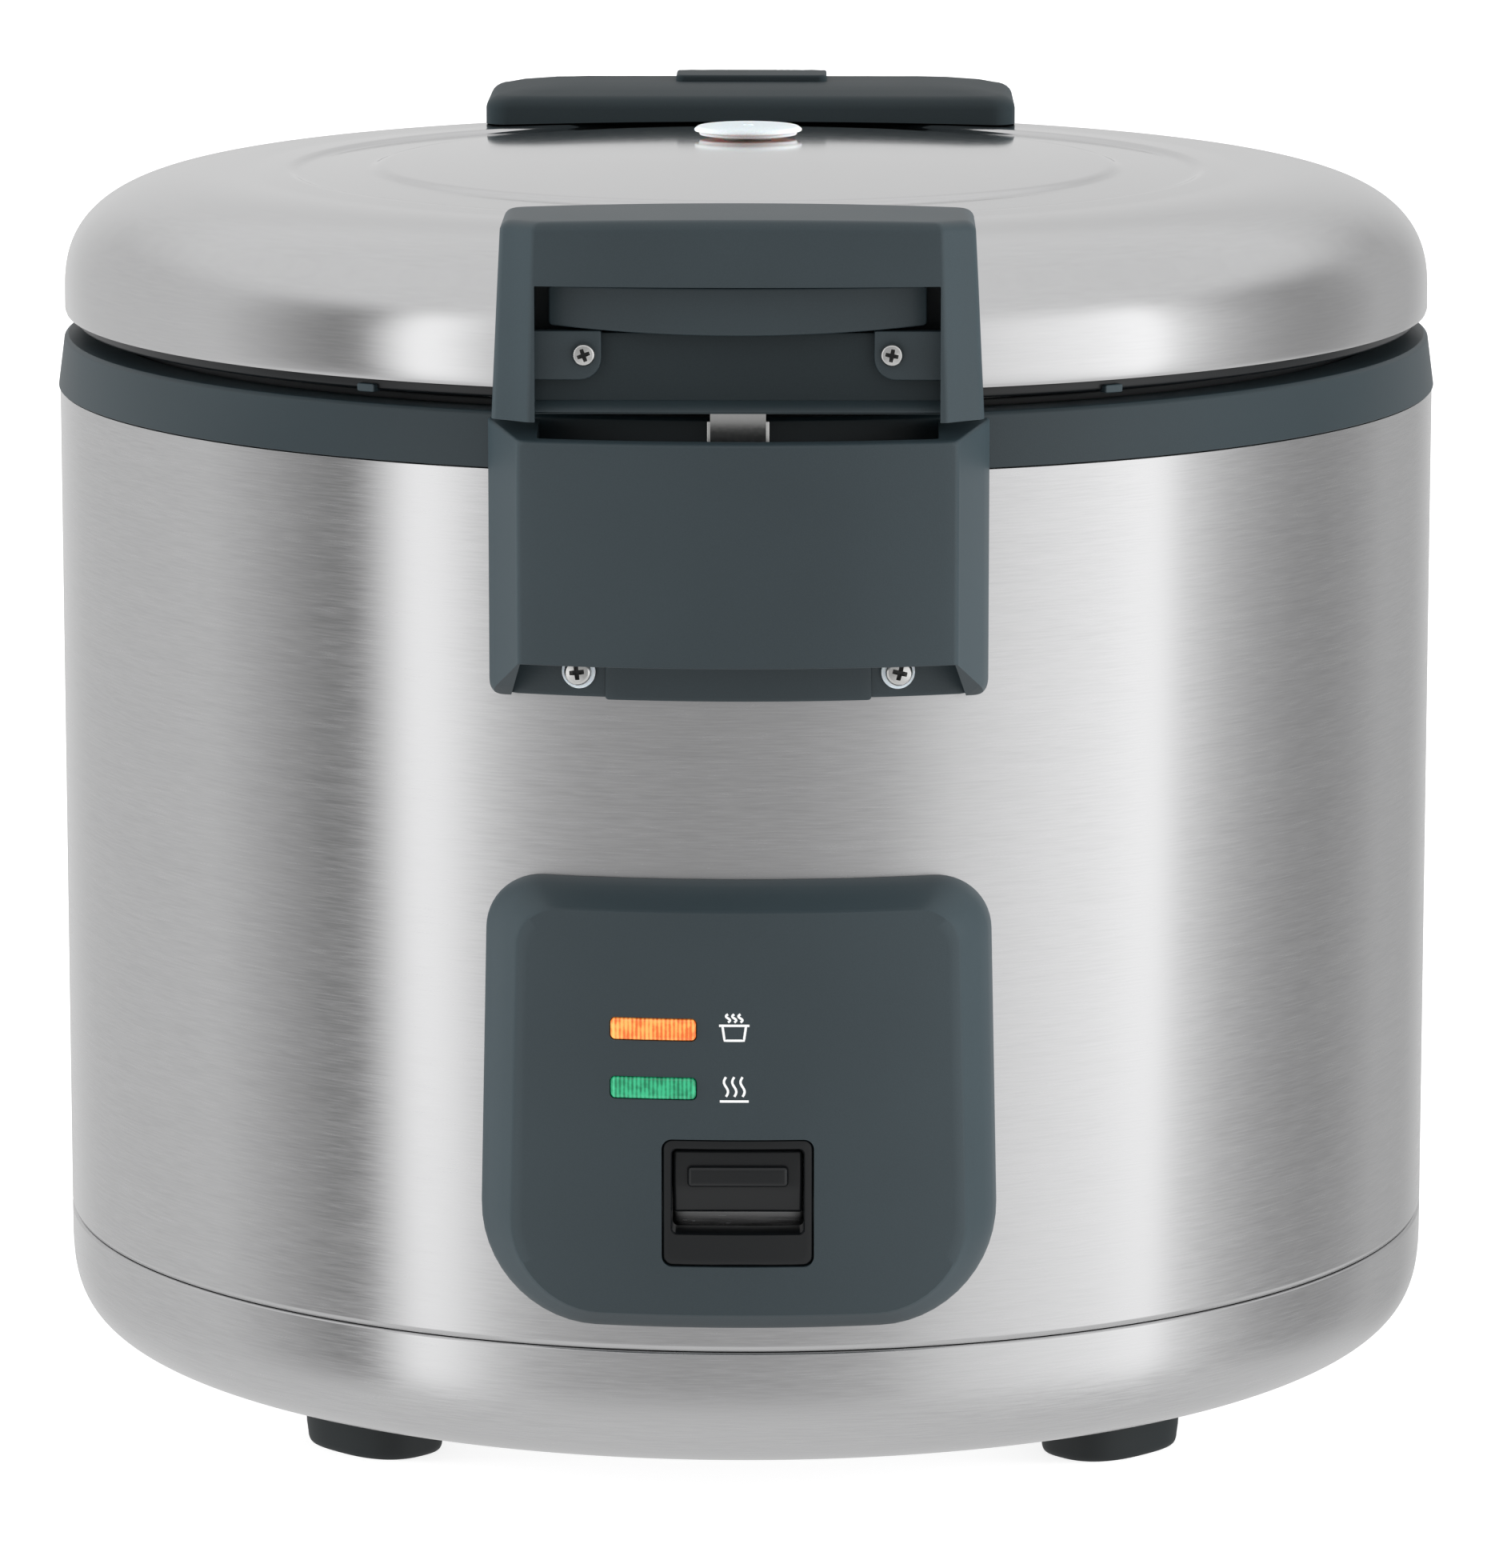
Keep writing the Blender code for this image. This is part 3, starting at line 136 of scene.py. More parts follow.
def grid_faces(rows, columns, wrap_rows, wrap_columns):
    """Quads of a grid whose last row or column may join its first."""
    i = np.arange(rows if wrap_rows else rows - 1)[:, None]
    j = np.arange(columns if wrap_columns else columns - 1)[None, :]
    a, b = i, (i + 1) % rows
    c, d = j, (j + 1) % columns
    quads = np.stack([a * columns + c, a * columns + d, b * columns + d, b * columns + c], -1)
    return quads.reshape(-1, 4)


def surface(name, points, wrap_rows=False, wrap_columns=True):
    """A mesh object from a grid of points (rows, columns, 3)."""
    rows, columns = points.shape[:2]
    return to_mesh(name, points.reshape(-1, 3), grid_faces(rows, columns, wrap_rows, wrap_columns))


def shade(obj, degrees=40.0):
    """Smooth shading with edges sharper than an angle kept crisp."""
    obj.data.shade_smooth()
    obj.data.set_sharp_from_angle(angle=math.radians(degrees))
    return obj


def finish_piece(obj, material, body, slot, *nodes, sharp=40.0):
    """Shade a piece, give it a material, and say what it rides on and stands for; the slot is not
    used.
    """
    obj.data.materials.clear()
    obj.data.materials.append(material)
    shade(obj, sharp)
    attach(obj, body)
    if nodes:
        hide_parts(*nodes)
    return obj


# %% [markdown]
# ## Turned sheet and moulded corners
# Pressed and spun parts are a profile turned round the axis.  A profile's corners are never dead
# sharp on the real thing, so a helper rounds each corner of a polyline with a true arc.

# %% Rounded lines and spun shapes


def arc_corners(corners, radii, closed, steps=6):
    """Replace each corner of a polyline by an arc tangent to both its sides.

    The arc starts r * tan(turn / 2) before the corner, and its points are spread evenly by angle.
    Corners with no radius stay.  All corners give the same number of points.
    """
    corners = np.asarray(corners, float)
    radii = np.asarray(radii, float)[:, None]
    before = np.roll(corners, 1, 0) - corners
    after = np.roll(corners, -1, 0) - corners
    if not closed:
        before[0], after[-1] = -after[0], -before[-1]
    before /= np.linalg.norm(before, axis=1, keepdims=True)
    after /= np.linalg.norm(after, axis=1, keepdims=True)
    cosine = np.clip((before * after).sum(1, keepdims=True), -1, 1)
    half = np.arccos(cosine) / 2
    middle = before + after
    length = np.linalg.norm(middle, axis=1, keepdims=True)
    straight = length < 1e-6
    middle = np.where(straight, 0, middle / np.where(straight, 1, length))
    centre = corners + middle * radii / np.sin(half)
    start = corners + before * radii / np.tan(half) - centre
    end = corners + after * radii / np.tan(half) - centre
    t = np.linspace(0, 1, steps)[None, :, None]
    sweep = (np.pi - 2 * half)[:, None]
    safe = np.where(np.abs(np.sin(sweep)) < 1e-9, 1, np.sin(sweep))
    mixed = (np.sin((1 - t) * sweep) * start[:, None] + np.sin(t * sweep) * end[:, None]) / safe
    points = np.where((straight | (radii == 0))[:, None], corners[:, None], centre[:, None] + mixed)
    return points.reshape(-1, 2)


def spun(name, profile, segments=256, axis=(0.0, 0.0), closed=True):
    """Turn a profile of (radius, z) points: x = r sin a, y = -r cos a, z = z."""
    profile = np.asarray(profile, float)
    angle = np.linspace(0, 2 * np.pi, segments, endpoint=False)
    r, z = profile[:, :1], profile[:, 1:]
    grid = np.stack([axis[0] + r * np.sin(angle), axis[1] - r * np.cos(angle),
                     z + 0 * angle], -1)
    return surface(name, grid, wrap_rows=closed)


def rounded(name, corners, radii, steps, segments, closed=True, **options):
    """A turned part from a polyline of (radius, z) with rounded corners."""
    profile = arc_corners(corners, radii, closed, steps)
    return spun(name, profile, segments, closed=closed, **options)


# %% [markdown]
# ## Moulded blocks
# The dark mouldings are all the same idea: an outline, and a profile carried round it.  The
# outline is a polygon with round corners.  A step inwards moves each straight side in by the same
# distance and shortens each corner's radius, so walls and bevels keep an even width.  A last ring
# shrunk onto the middle closes a flat face.

# %% Outlines and the profile carried round them


def moved_in(corners, radii, inward):
    """An outline moved inwards: sides shift by the step and meet again, radii get shorter."""
    corners = np.asarray(corners, float)
    along = np.roll(corners, -1, 0) - corners
    along /= np.linalg.norm(along, axis=1, keepdims=True)
    normal = np.stack([-along[:, 1], along[:, 0]], -1)
    offset = (corners * normal).sum(1) + inward
    first, last = np.roll(normal, 1, 0), normal
    c1, c2 = np.roll(offset, 1), offset
    det = first[:, 0] * last[:, 1] - first[:, 1] * last[:, 0]
    x = (c1 * last[:, 1] - c2 * first[:, 1]) / det
    y = (first[:, 0] * c2 - last[:, 0] * c1) / det
    return np.stack([x, y], -1), np.maximum(np.asarray(radii, float) - inward, 0.0003)


def divided(loop, longest):
    """Where the points go when a closed loop's long sides are split evenly, so that it can bend."""
    gap = np.roll(loop, -1, 0) - loop
    parts = np.maximum(1, np.ceil(np.linalg.norm(gap, axis=1) / longest).astype(int))
    start = np.repeat(np.arange(len(loop)), parts)
    step = np.arange(len(start)) - np.repeat(np.cumsum(parts) - parts, parts)
    t = (step / parts[start])[:, None]
    return start, t


def stacked(levels, fill_first=True, fill_last=True, longest=0.004, steps=8, fill_rows=12):
    """Rings (rows, columns, 3) of (u, v, height), one for each (corners, radii, height) level.

    Every level has the same number of corners.  A filled end shrinks evenly onto its centre.
    """
    loops = [arc_corners(corners, radii, True, steps) for corners, radii, _ in levels]
    start, t = divided(loops[0], longest)
    rows = [np.column_stack([loop[start] * (1 - t) + np.roll(loop, -1, 0)[start] * t,
                             np.full(len(start), height)])
            for loop, (_, _, height) in zip(loops, levels)]
    grid = np.array(rows)
    shrink = np.linspace(1, 0, fill_rows + 1)[1:, None, None]

    def fill(ring):
        middle = np.append((ring[:, :2].max(0) + ring[:, :2].min(0)) / 2, ring[0, 2])
        return middle + (ring - middle) * shrink

    if fill_first:
        grid = np.concatenate([fill(grid[0])[::-1], grid])
    if fill_last:
        grid = np.concatenate([grid, fill(grid[-1])])
    return grid


def carried(corners, radii, profile, fill_first=True, fill_last=True, **options):
    """A profile of (inward, height) points carried round one outline."""
    levels = []
    for inward, height in profile:
        levels.append((*moved_in(corners, radii, inward), height))
    return stacked(levels, fill_first, fill_last, **options)


def quarter_round(inward, height, radius, rising, count=5):
    """Points of a rounded edge, from the upright side to the flat face, as (inward, height)."""
    a = np.linspace(0, np.pi / 2, count)
    sign = 1 if rising else -1
    return [(inward + radius * (1 - c), height - sign * radius * (1 - s))
            for c, s in zip(np.cos(a), np.sin(a))]


def on_drum(grid, side=-1):
    """Lay (x, z, radius) on the drum: a point keeps x and z, and y = side * sqrt(r^2 - x^2)."""
    x, z, r = grid[..., 0], grid[..., 1], grid[..., 2]
    return np.stack([x, side * np.sqrt(r * r - x * x), z], -1)


def upright(grid):
    """(x, z, forward) to the frame, with forward along -y."""
    return np.stack([grid[..., 0], -grid[..., 2], grid[..., 1]], -1)


def behind(grid):
    """(x, z, backward) to the frame, with backward along +y."""
    return np.stack([grid[..., 0], grid[..., 2], grid[..., 1]], -1)


def rectangle(left, right, low, high):
    return [(left, low), (right, low), (right, high), (left, high)]


def cut_away(obj, *cutters):
    """Subtract solids from a piece, keep the result as its mesh, and remove the solids."""
    for cutter in cutters:
        step = obj.modifiers.new("cut", "BOOLEAN")
        step.operation = "DIFFERENCE"
        step.solver = "EXACT"
        step.object = cutter
    bpy.context.view_layer.update()
    evaluated = obj.evaluated_get(bpy.context.evaluated_depsgraph_get())
    made = bpy.data.meshes.new_from_object(evaluated)
    obj.modifiers.clear()
    obj.data = made
    for cutter in cutters:
        bpy.data.objects.remove(cutter, do_unlink=True)
    return obj


def block(name, corners, radii, low, high, edge=0.0005, mapping=None, **options):
    """A solid with an outline, upright sides and rounded edges at both faces."""
    profile = quarter_round(0, low, edge, False, 4)[::-1] + quarter_round(0, high, edge, True, 4)
    grid = carried(corners, radii, profile, **options)
    return surface(name, mapping(grid) if mapping else grid)


# %% [markdown]
# ## Materials
# The steel is brushed round the drum: grit drags fine scratches along the sheet, so highlights
# smear up and down.  An anisotropic metal gives that smear, and a noise stretched along the
# scratches varies its roughness and tilts it a little.  The pattern reads Object coordinates
# turned into angle, radius and height, so it runs round the body on every turned part.

# %% Node helpers


class Nodes:
    """Short calls to add and join the nodes of one material."""

    def __init__(self, name):
        self.material = bpy.data.materials.new(name)
        self.material.use_nodes = True
        self.tree = self.material.node_tree
        self.shader = self.tree.nodes["Principled BSDF"]

    def add(self, kind, **values):
        node = self.tree.nodes.new(kind)
        for key, value in values.items():
            setattr(node, key, value)
        return node

    def join(self, output, target):
        self.tree.links.new(output, target)

    def math(self, operation, first, second=0.0):
        node = self.add("ShaderNodeMath", operation=operation)
        for socket, value in zip(node.inputs, (first, second)):
            if isinstance(value, (int, float)):
                socket.default_value = value
            else:
                self.join(value, socket)
        return node.outputs[0]

    def ramp(self, factor, stops, mode="LINEAR"):
        """A colour ramp from (position, colour or grey) stops."""
        node = self.add("ShaderNodeValToRGB")
        node.color_ramp.interpolation = mode
        elements = node.color_ramp.elements
        while len(elements) < len(stops):
            elements.new(0.5)
        for element, (position, color) in zip(elements, stops):
            element.position = position
            element.color = (*((color,) * 3 if isinstance(color, (int, float)) else color), 1.0)
        self.join(factor, node.inputs["Fac"])
        return node.outputs["Color"]

    def times(self, first, second):
        return self.math("MULTIPLY", first, second)

    def plus(self, first, second):
        return self.math("ADD", first, second)

    def about_zero(self, value, size):
        """Centre a noise on zero and scale it."""
        return self.times(self.math("SUBTRACT", value, 0.5), size)

    def split(self, vector):
        node = self.add("ShaderNodeSeparateXYZ")
        self.join(vector, node.inputs[0])
        return node.outputs

    def smooth(self, value, start, end):
        """Rise from 0 to 1 without a crease as a value goes from start to end."""
        node = self.add("ShaderNodeMapRange", interpolation_type="SMOOTHSTEP")
        node.inputs["From Min"].default_value = start
        node.inputs["From Max"].default_value = end
        self.join(value, node.inputs["Value"])
        return node.outputs[0]

    def tint(self, factor, color, low, high, start=0.30, end=0.70):
        """Base colour between two shares of a colour."""
        shades = [tuple(min(1.0, c * k) for c in color) for k in (low, high)]
        self.join(self.ramp(factor, [(start, shades[0]), (end, shades[1])]),
                  self.shader.inputs["Base Color"])

    def object_place(self):
        return self.add("ShaderNodeTexCoord").outputs["Object"]

    def noise(self, vector, scale, detail=2.0, roughness=0.5):
        node = self.add("ShaderNodeTexNoise")
        node.inputs["Scale"].default_value = scale
        node.inputs["Detail"].default_value = detail
        node.inputs["Roughness"].default_value = roughness
        self.join(vector, node.inputs["Vector"])
        return node.outputs["Fac"]

    def bump(self, height, strength, distance):
        node = self.add("ShaderNodeBump")
        node.inputs["Strength"].default_value = strength
        node.inputs["Distance"].default_value = distance
        self.join(height, node.inputs["Height"])
        self.join(node.outputs["Normal"], self.shader.inputs["Normal"])

    def settings(self, **values):
        """Set sockets of the shader by name, with underscores for spaces."""
        for key, value in values.items():
            socket = self.shader.inputs[key.replace("_", " ")]
            socket.default_value = (*value, 1.0) if isinstance(value, tuple) else value


# %% Steel, brushed round the axis


def brushed_steel(name, roughness, anisotropy, scratch, color=(0.60, 0.60, 0.605), polish=0.0):
    """Steel with scratches that run round the z axis; polish smooths it inside 0.15 m."""
    n = Nodes(name)
    n.settings(Metallic=1.0, Anisotropic=anisotropy, Anisotropic_Rotation=0.25)
    x, y, z = n.split(n.object_place())
    across = n.math("SQRT", n.plus(n.times(x, x), n.times(y, y)))
    place = n.add("ShaderNodeCombineXYZ")
    n.join(n.times(n.math("DIVIDE", x, across), 5.0), place.inputs[0])
    n.join(n.times(n.math("DIVIDE", y, across), 5.0), place.inputs[1])
    n.join(n.times(n.plus(across, z), 480.0), place.inputs[2])
    fine = n.noise(place.outputs[0], 4.0, 3.0, 0.6)
    coarse = n.noise(place.outputs[0], 0.8, 2.0, 0.5)
    grain = n.plus(n.times(fine, 0.75), n.times(coarse, 0.25))
    total = n.plus(n.about_zero(grain, scratch), roughness)
    if polish:
        inside = n.smooth(across, 0.185, 0.140)
        total = n.math("SUBTRACT", total, n.times(inside, polish))
    n.join(total, n.shader.inputs["Roughness"])
    n.tint(grain, color, 1 - 0.22 * scratch, 1 + 0.22 * scratch)
    n.bump(grain, 0.12 * scratch, 0.0001)
    tangent = n.add("ShaderNodeTangent", direction_type="RADIAL", axis="Z")
    n.join(tangent.outputs[0], n.shader.inputs["Tangent"])
    return n.material


drum_steel = brushed_steel("drum_brushed_steel", 0.23, 0.8, 0.30)
lid_steel = brushed_steel("lid_satin_steel", 0.20, 0.55, 0.12, (0.63, 0.63, 0.635), 0.11)
spun_aluminium = brushed_steel("spun_aluminium", 0.34, 0.4, 0.3, (0.78, 0.78, 0.79))

# %% [markdown]
# The mouldings are a blue-grey charcoal plastic with a spark-eroded texture: a fine grain that
# breaks the gloss and catches light on edges.  A noise at about a third of a millimetre gives the
# grain, and a broad one shifts colour and gloss very slightly, as handling does.

# %% Plastics


def moulded_plastic(name, color, roughness, grain=1.0, depth=0.00006, **extra):
    """Opaque plastic with a fine textured skin."""
    n = Nodes(name)
    n.settings(**extra)
    place = n.object_place()
    fine = n.noise(place, 2600.0, 2.0)
    broad = n.noise(place, 14.0, 2.0)
    n.tint(n.plus(n.times(fine, 0.5), n.times(broad, 0.5)), color, 0.90, 1.10, 0.35, 0.65)
    n.join(n.plus(n.about_zero(broad, 0.10), roughness), n.shader.inputs["Roughness"])
    n.bump(fine, 0.35 * grain, depth)
    return n.material


charcoal = moulded_plastic("charcoal_plastic", (0.024, 0.038, 0.045), 0.46)
collar_plastic = moulded_plastic("collar_plastic", (0.0135, 0.0235, 0.0285), 0.46)
black = moulded_plastic("black_satin_plastic", (0.004, 0.005, 0.006), 0.34, 0.4)
deep_grey = moulded_plastic("deep_grey_plastic", (0.013, 0.022, 0.026), 0.58,
                            Specular_IOR_Level=0.35)
foot_rubber = moulded_plastic("foot_rubber", (0.004, 0.007, 0.008), 0.60, 0.6)
milky = moulded_plastic("milky_cap_plastic", (0.80, 0.80, 0.81), 0.33, 0.2, Subsurface_Weight=0.25)
dark_seal = moulded_plastic("dark_seal", (0.006, 0.007, 0.008), 0.5, 0.4)
gasket_rubber = moulded_plastic("gasket_silicone", (0.62, 0.61, 0.58), 0.55, 0.4)
white_print = moulded_plastic("white_print", (0.85, 0.86, 0.86), 0.5, 0.2)
fibre = moulded_plastic("fibre_mat", (0.7, 0.66, 0.56), 0.95, 2.0, 0.0004)

# %% [markdown]
# Screws and small plates are plain bright steel with a faint rolled grain.  The lamp lenses are
# clear coloured plastic with fine upright ribs on the inside, over a pale reflector; a glow from
# within stands for the light they scatter.

# %% Bright metal and lenses


def plain_metal(name, color, roughness):
    n = Nodes(name)
    n.settings(Metallic=1.0)
    grain = n.noise(n.object_place(), 900.0, 3.0)
    n.tint(grain, color, 0.93, 1.0)
    n.join(n.plus(n.about_zero(grain, 0.12), roughness), n.shader.inputs["Roughness"])
    return n.material


bright_steel = plain_metal("bright_steel", (0.72, 0.72, 0.71), 0.22)
brass = plain_metal("brass", (0.78, 0.60, 0.30), 0.28)


def ribbed_lens(name, deep, lit):
    """A lens whose colour changes across fine ribs and in soft random clouds."""
    n = Nodes(name)
    # The emission is a painted glow that stands for light scattered inside the lens. It takes the
    # same rib and cloud colour as the base, which is the lens's own colour.
    n.settings(Roughness=0.12, Coat_Weight=0.6, Coat_Roughness=0.05, Emission_Strength=0.22)
    place = n.object_place()
    ribs = n.math("SINE", n.times(n.split(place)[0], 5200.0))
    cloud = n.noise(place, 330.0, 3.0)
    color = n.ramp(n.plus(n.times(ribs, 0.16), cloud), [(0.32, deep), (0.68, lit)])
    n.join(color, n.shader.inputs["Base Color"])
    n.join(color, n.shader.inputs["Emission Color"])
    n.bump(ribs, 0.25, 0.0001)
    return n.material


orange_lens = ribbed_lens("orange_lens", (0.72, 0.13, 0.02), (1.0, 0.42, 0.10))
green_lens = ribbed_lens("green_lens", (0.005, 0.16, 0.07), (0.03, 0.42, 0.20))
clear_cup = Nodes("clear_cup")
clear_cup.settings(Base_Color=(0.86, 0.90, 0.92), Roughness=0.12, Transmission_Weight=0.85,
                   IOR=1.49)
clear_plastic = clear_cup.material
print("materials:", len(bpy.data.materials))

# %% [markdown]
# ## The steel body
# The drum is rolled sheet: a hem turns in at its foot, so a thin dark seam shows above the pan.
# The pan's corner is a superellipse, $|x/a|^p + |z/b|^p = 1$ with $p = 3.74$: flatter on the side
# and below than a circle, and tighter in between.

# %% Drum, pan and collar
WALL = 0.0012


def drum_profile():
    low, high = SEAM_Z, DRUM_TOP
    line = [(DRUM_R, high), (DRUM_R, low + 0.0016), (DRUM_R - 0.0007, low), (DRUM_R - WALL, low),
            (DRUM_R - WALL, high)]
    return arc_corners(line, [0.0003, 0.0012, 0.0003, 0.0001, 0.0003], closed=True, steps=5)


def pan_profile():
    top, low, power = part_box("base_pan")[1].z, PAN_LOW, 3.74
    width, height, thick = 0.0545, 0.0388, 0.0015
    t = np.linspace(0, np.pi / 2, 30)
    r = DRUM_R - width * (1 - np.cos(t).clip(0) ** (2 / power))
    z = low + height - height * np.sin(t) ** (2 / power)
    outer = [(DRUM_R - 0.0006, top), (DRUM_R, top - 0.0006)] + list(zip(r, z))
    bowl = DRUM_R - width
    inner = [(bowl - 0.002, low + thick), (bowl + 0.03, low + thick + 0.0035),
             (DRUM_R - thick - 0.004, low + 0.022), (DRUM_R - thick, low + height)]
    return (outer + [(0.066, low), (0.065, low + 0.0005), (0.065, low + thick)]
            + inner + [(DRUM_R - thick, top)])


drum = spun("drum", drum_profile(), 360)
finish_piece(drum, drum_steel, "base", "steel_body", "outer_shell", sharp=50)
pan = spun("pan", pan_profile(), 360)
finish_piece(pan, drum_steel, "base", "steel_body", "base_pan", sharp=50)
cover = rounded("pan_cover", [(0.0, 0.0130), (0.075, 0.0130), (0.075, 0.0137), (0.0, 0.0137)],
                [0, 0.0003, 0.0002, 0], 4, 96, closed=False)
finish_piece(cover, lid_steel, "base", "steel_body", "bottom_cover")


def collar_profile():
    """A moulded ring: flared side, a round lip and the ledge that the pot's flange rests on."""
    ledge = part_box("inner_pot")[1].z - 0.0018
    line = [(COLLAR_R - 0.0032, RIM_Z), (COLLAR_R - 0.0020, RIM_Z - 0.0010),
            (COLLAR_R, DRUM_TOP + 0.0003), (0.1885, DRUM_TOP + 0.0003), (0.1885, ledge),
            (0.1978, ledge), (0.1985, RIM_Z)]
    return arc_corners(line, [0.0006, 0.0008, 0.0003, 0.0006, 0.0008, 0.0008, 0.0008], True, 5)


collar = spun("collar", collar_profile(), 360)
finish_piece(collar, collar_plastic, "base", "dark_plastic", "rim_collar", sharp=30)

# %% [markdown]
# ## The pot and what is inside the drum
# The pot is drawn aluminium, 2 mm thick, with a large bend at the floor and a rolled flange that
# hangs on the collar's ledge.  It stands on a cast heating plate.

# %% Pot, shield and plate


def pot_profile():
    low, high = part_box("inner_pot")[0].z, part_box("inner_pot")[1].z
    r, thick, flange = 0.184, 0.002, 0.196
    line = [(0.0, low + thick), (r - thick, low + thick), (r - thick, high), (flange, high),
            (flange, high - 0.0015), (r, high - 0.0015), (r, low), (0.0, low)]
    return arc_corners(line, [0, 0.013, 0.0012, 0.0006, 0.0005, 0.0006, 0.015, 0], False, 9)


pot = spun("cooking_pot", pot_profile(), 256, closed=False)
finish_piece(pot, spun_aluminium, "base", "aluminium", "inner_pot")
shield_low, shield_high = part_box("heat_shield")
shield = rounded(
    "shield", [(0.1905, shield_high.z), (0.1905, shield_low.z), (0.140, shield_low.z),
               (0.140, shield_low.z + 0.001), (0.1895, shield_low.z + 0.001),
               (0.1895, shield_high.z)], [0, 0.0012, 0, 0, 0.0008, 0], 4, 128)
finish_piece(shield, bright_steel, "base", "steel_parts", "heat_shield")
plate_low, plate_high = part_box("heating_plate")
plate = rounded("cast_plate", rectangle(0.0215, 0.135, plate_low.z, plate_high.z),
                [0.0005, 0.0015, 0.0025, 0.0008], 5, 160)
finish_piece(plate, spun_aluminium, "base", "aluminium", "heating_plate")

# %% [markdown]
# ## The lid
# The lid is a pressed dome.  Its crown rises by a few millimetres as a shallow paraboloid, a
# pressed groove runs round it, and the shoulder is a superellipse with $p = 2.61$ that lands on an
# upright side.

# %% Lid skin
SHOULDER_W, SHOULDER_H, SHOULDER_POWER = 0.0584, 0.0369, 2.61
CROWN_R = LID_R - SHOULDER_W
SHOULDER_Z = LID_LOW + 0.0058
CROWN_RISE = 0.004
GROOVE_IN, GROOVE_OUT, GROOVE_DEPTH, GROOVE_BLEND = 0.1155, 0.1415, 0.0013, 0.0012
LID_SHEET = 0.001


def crown(r):
    """Height of the crown: a paraboloid that drops from its middle to its edge."""
    return LID_TOP - CROWN_RISE * (r / CROWN_R) ** 2


def shoulder(t, grow=0.0):
    """The shoulder's superellipse from the crown (t = pi / 2) to the side, grown by a little."""
    return np.stack([
        CROWN_R + (SHOULDER_W + grow) * np.cos(t).clip(0) ** (2 / SHOULDER_POWER),
        SHOULDER_Z + (SHOULDER_H + grow) * np.sin(t) ** (2 / SHOULDER_POWER)], -1)


def lid_profile():
    """From the centre outwards and down, then back inside at the sheet's thickness."""
    r = np.linspace(0, CROWN_R, 120)
    step = 0.5 + 0.5 * (np.tanh((r - GROOVE_IN) / GROOVE_BLEND)
                        * np.tanh((GROOVE_OUT - r) / GROOVE_BLEND))
    top = np.stack([r, crown(r) - GROOVE_DEPTH * np.clip(step, 0, 1)], -1)
    side = shoulder(np.linspace(np.pi / 2, 0, 44)[1:])
    outer = np.concatenate([top, side, [(LID_R, LID_LOW + 0.0012), (LID_R - 0.0004, LID_LOW)]])
    along = np.gradient(outer, axis=0)
    along /= np.linalg.norm(along, axis=1, keepdims=True)
    inner = outer + LID_SHEET * np.stack([along[:, 1], -along[:, 0]], -1)
    inner[0] = (0, outer[0, 1] - LID_SHEET)
    inner[-1] = (LID_R - 0.0014, LID_LOW)
    return np.concatenate([outer, inner[::-1]])


lid = spun("lid_dome", lid_profile(), 360, closed=False)
finish_piece(lid, lid_steel, "lid", "steel_body", "lid_shell", sharp=60)

# %% Rim, inner lid, gasket and vent
rim_low, rim_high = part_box("lid_rim")
rim = rounded("lid_lower_rim", rectangle(0.186, 0.209, rim_high.z, rim_low.z),
              [0.0004, 0.0004, 0.0012, 0.0006], 5, 256)
finish_piece(rim, black, "lid", "dark_plastic", "lid_rim")


def inner_lid_profile():
    """A pressed disc with a raised bead and a shallow dish, for stiffness."""
    low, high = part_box("inner_lid")[0].z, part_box("inner_lid")[1].z
    r = np.linspace(0, 0.1975, 140)
    bead = sum(0.0005 * np.exp(-((r - place) / width) ** 2)
               for place, width in ((0.165, 0.004), (0.095, 0.006)))
    under = np.stack([r, low + bead], -1)
    return np.concatenate([under, np.stack([r, high + 0 * r], -1)[::-1]])


inner = spun("inner_lid_disc", inner_lid_profile(), 200, closed=False)
finish_piece(inner, spun_aluminium, "lid", "aluminium", "inner_lid")
seal_low, seal_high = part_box("lid_gasket")
seal = rounded(
    "lid_seal", [(0.187, seal_high.z), (0.1955, seal_high.z), (0.1955, seal_low.z + 0.002),
                 (0.1935, seal_low.z), (0.1885, seal_low.z), (0.187, seal_low.z + 0.002)],
    [0.0008, 0.0008, 0.0009, 0.0012, 0.0012, 0.0009], 5, 200)
finish_piece(seal, dark_seal, "lid", "silicone", "lid_gasket")

VENT_Y = middle_of("steam_vent_cap", "y")
tube_low, tube_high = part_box("vent_tube")
tube = rounded("steam_tube", rectangle(0.006, 0.0075, tube_low.z, tube_high.z), [0.0005] * 4,
               4, 48, axis=(0, VENT_Y))
finish_piece(tube, gasket_rubber, "lid", "silicone", "vent_tube")


def cap_profile():
    """A shallow button: stepped side, soft edge, a dished top with a small nib in the middle."""
    low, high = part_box("steam_vent_cap")[0].z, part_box("steam_vent_cap")[1].z
    line = [(0.0, high), (0.0012, high), (0.0018, high - 0.0004), (0.011, high - 0.0003),
            (0.0160, high - 0.0006), (0.01725, high - 0.0015), (0.01715, high - 0.0021),
            (0.0159, high - 0.0023), (0.0155, low), (0.0082, low), (0.0082, low + 0.0015),
            (0.0, low + 0.0015)]
    return arc_corners(line, [0, 0.0004, 0.0004, 0.002, 0.0010, 0.0005, 0.0003, 0.0004, 0.0003,
                              0.0003, 0.0004, 0], False, 5)


cap = spun("vent_button", cap_profile(), 96, axis=(0, VENT_Y), closed=False)
finish_piece(cap, milky, "vent_cap", "white_plastic", "steam_vent_cap")

# %% [markdown]
# ## The latch housing
# It is a hollow block bent round the collar: a face on a cylinder, cheeks that slope back to the
# collar, an open top where the hook comes down, and a thin flange below with two screws.  The
# cheeks run on down past the flange as two thin tails.

# %% Latch housing


def latch_level(half, low, high, radius, height):
    return rectangle(-half, half, low, high), [0.004, 0.004, radius, radius], height


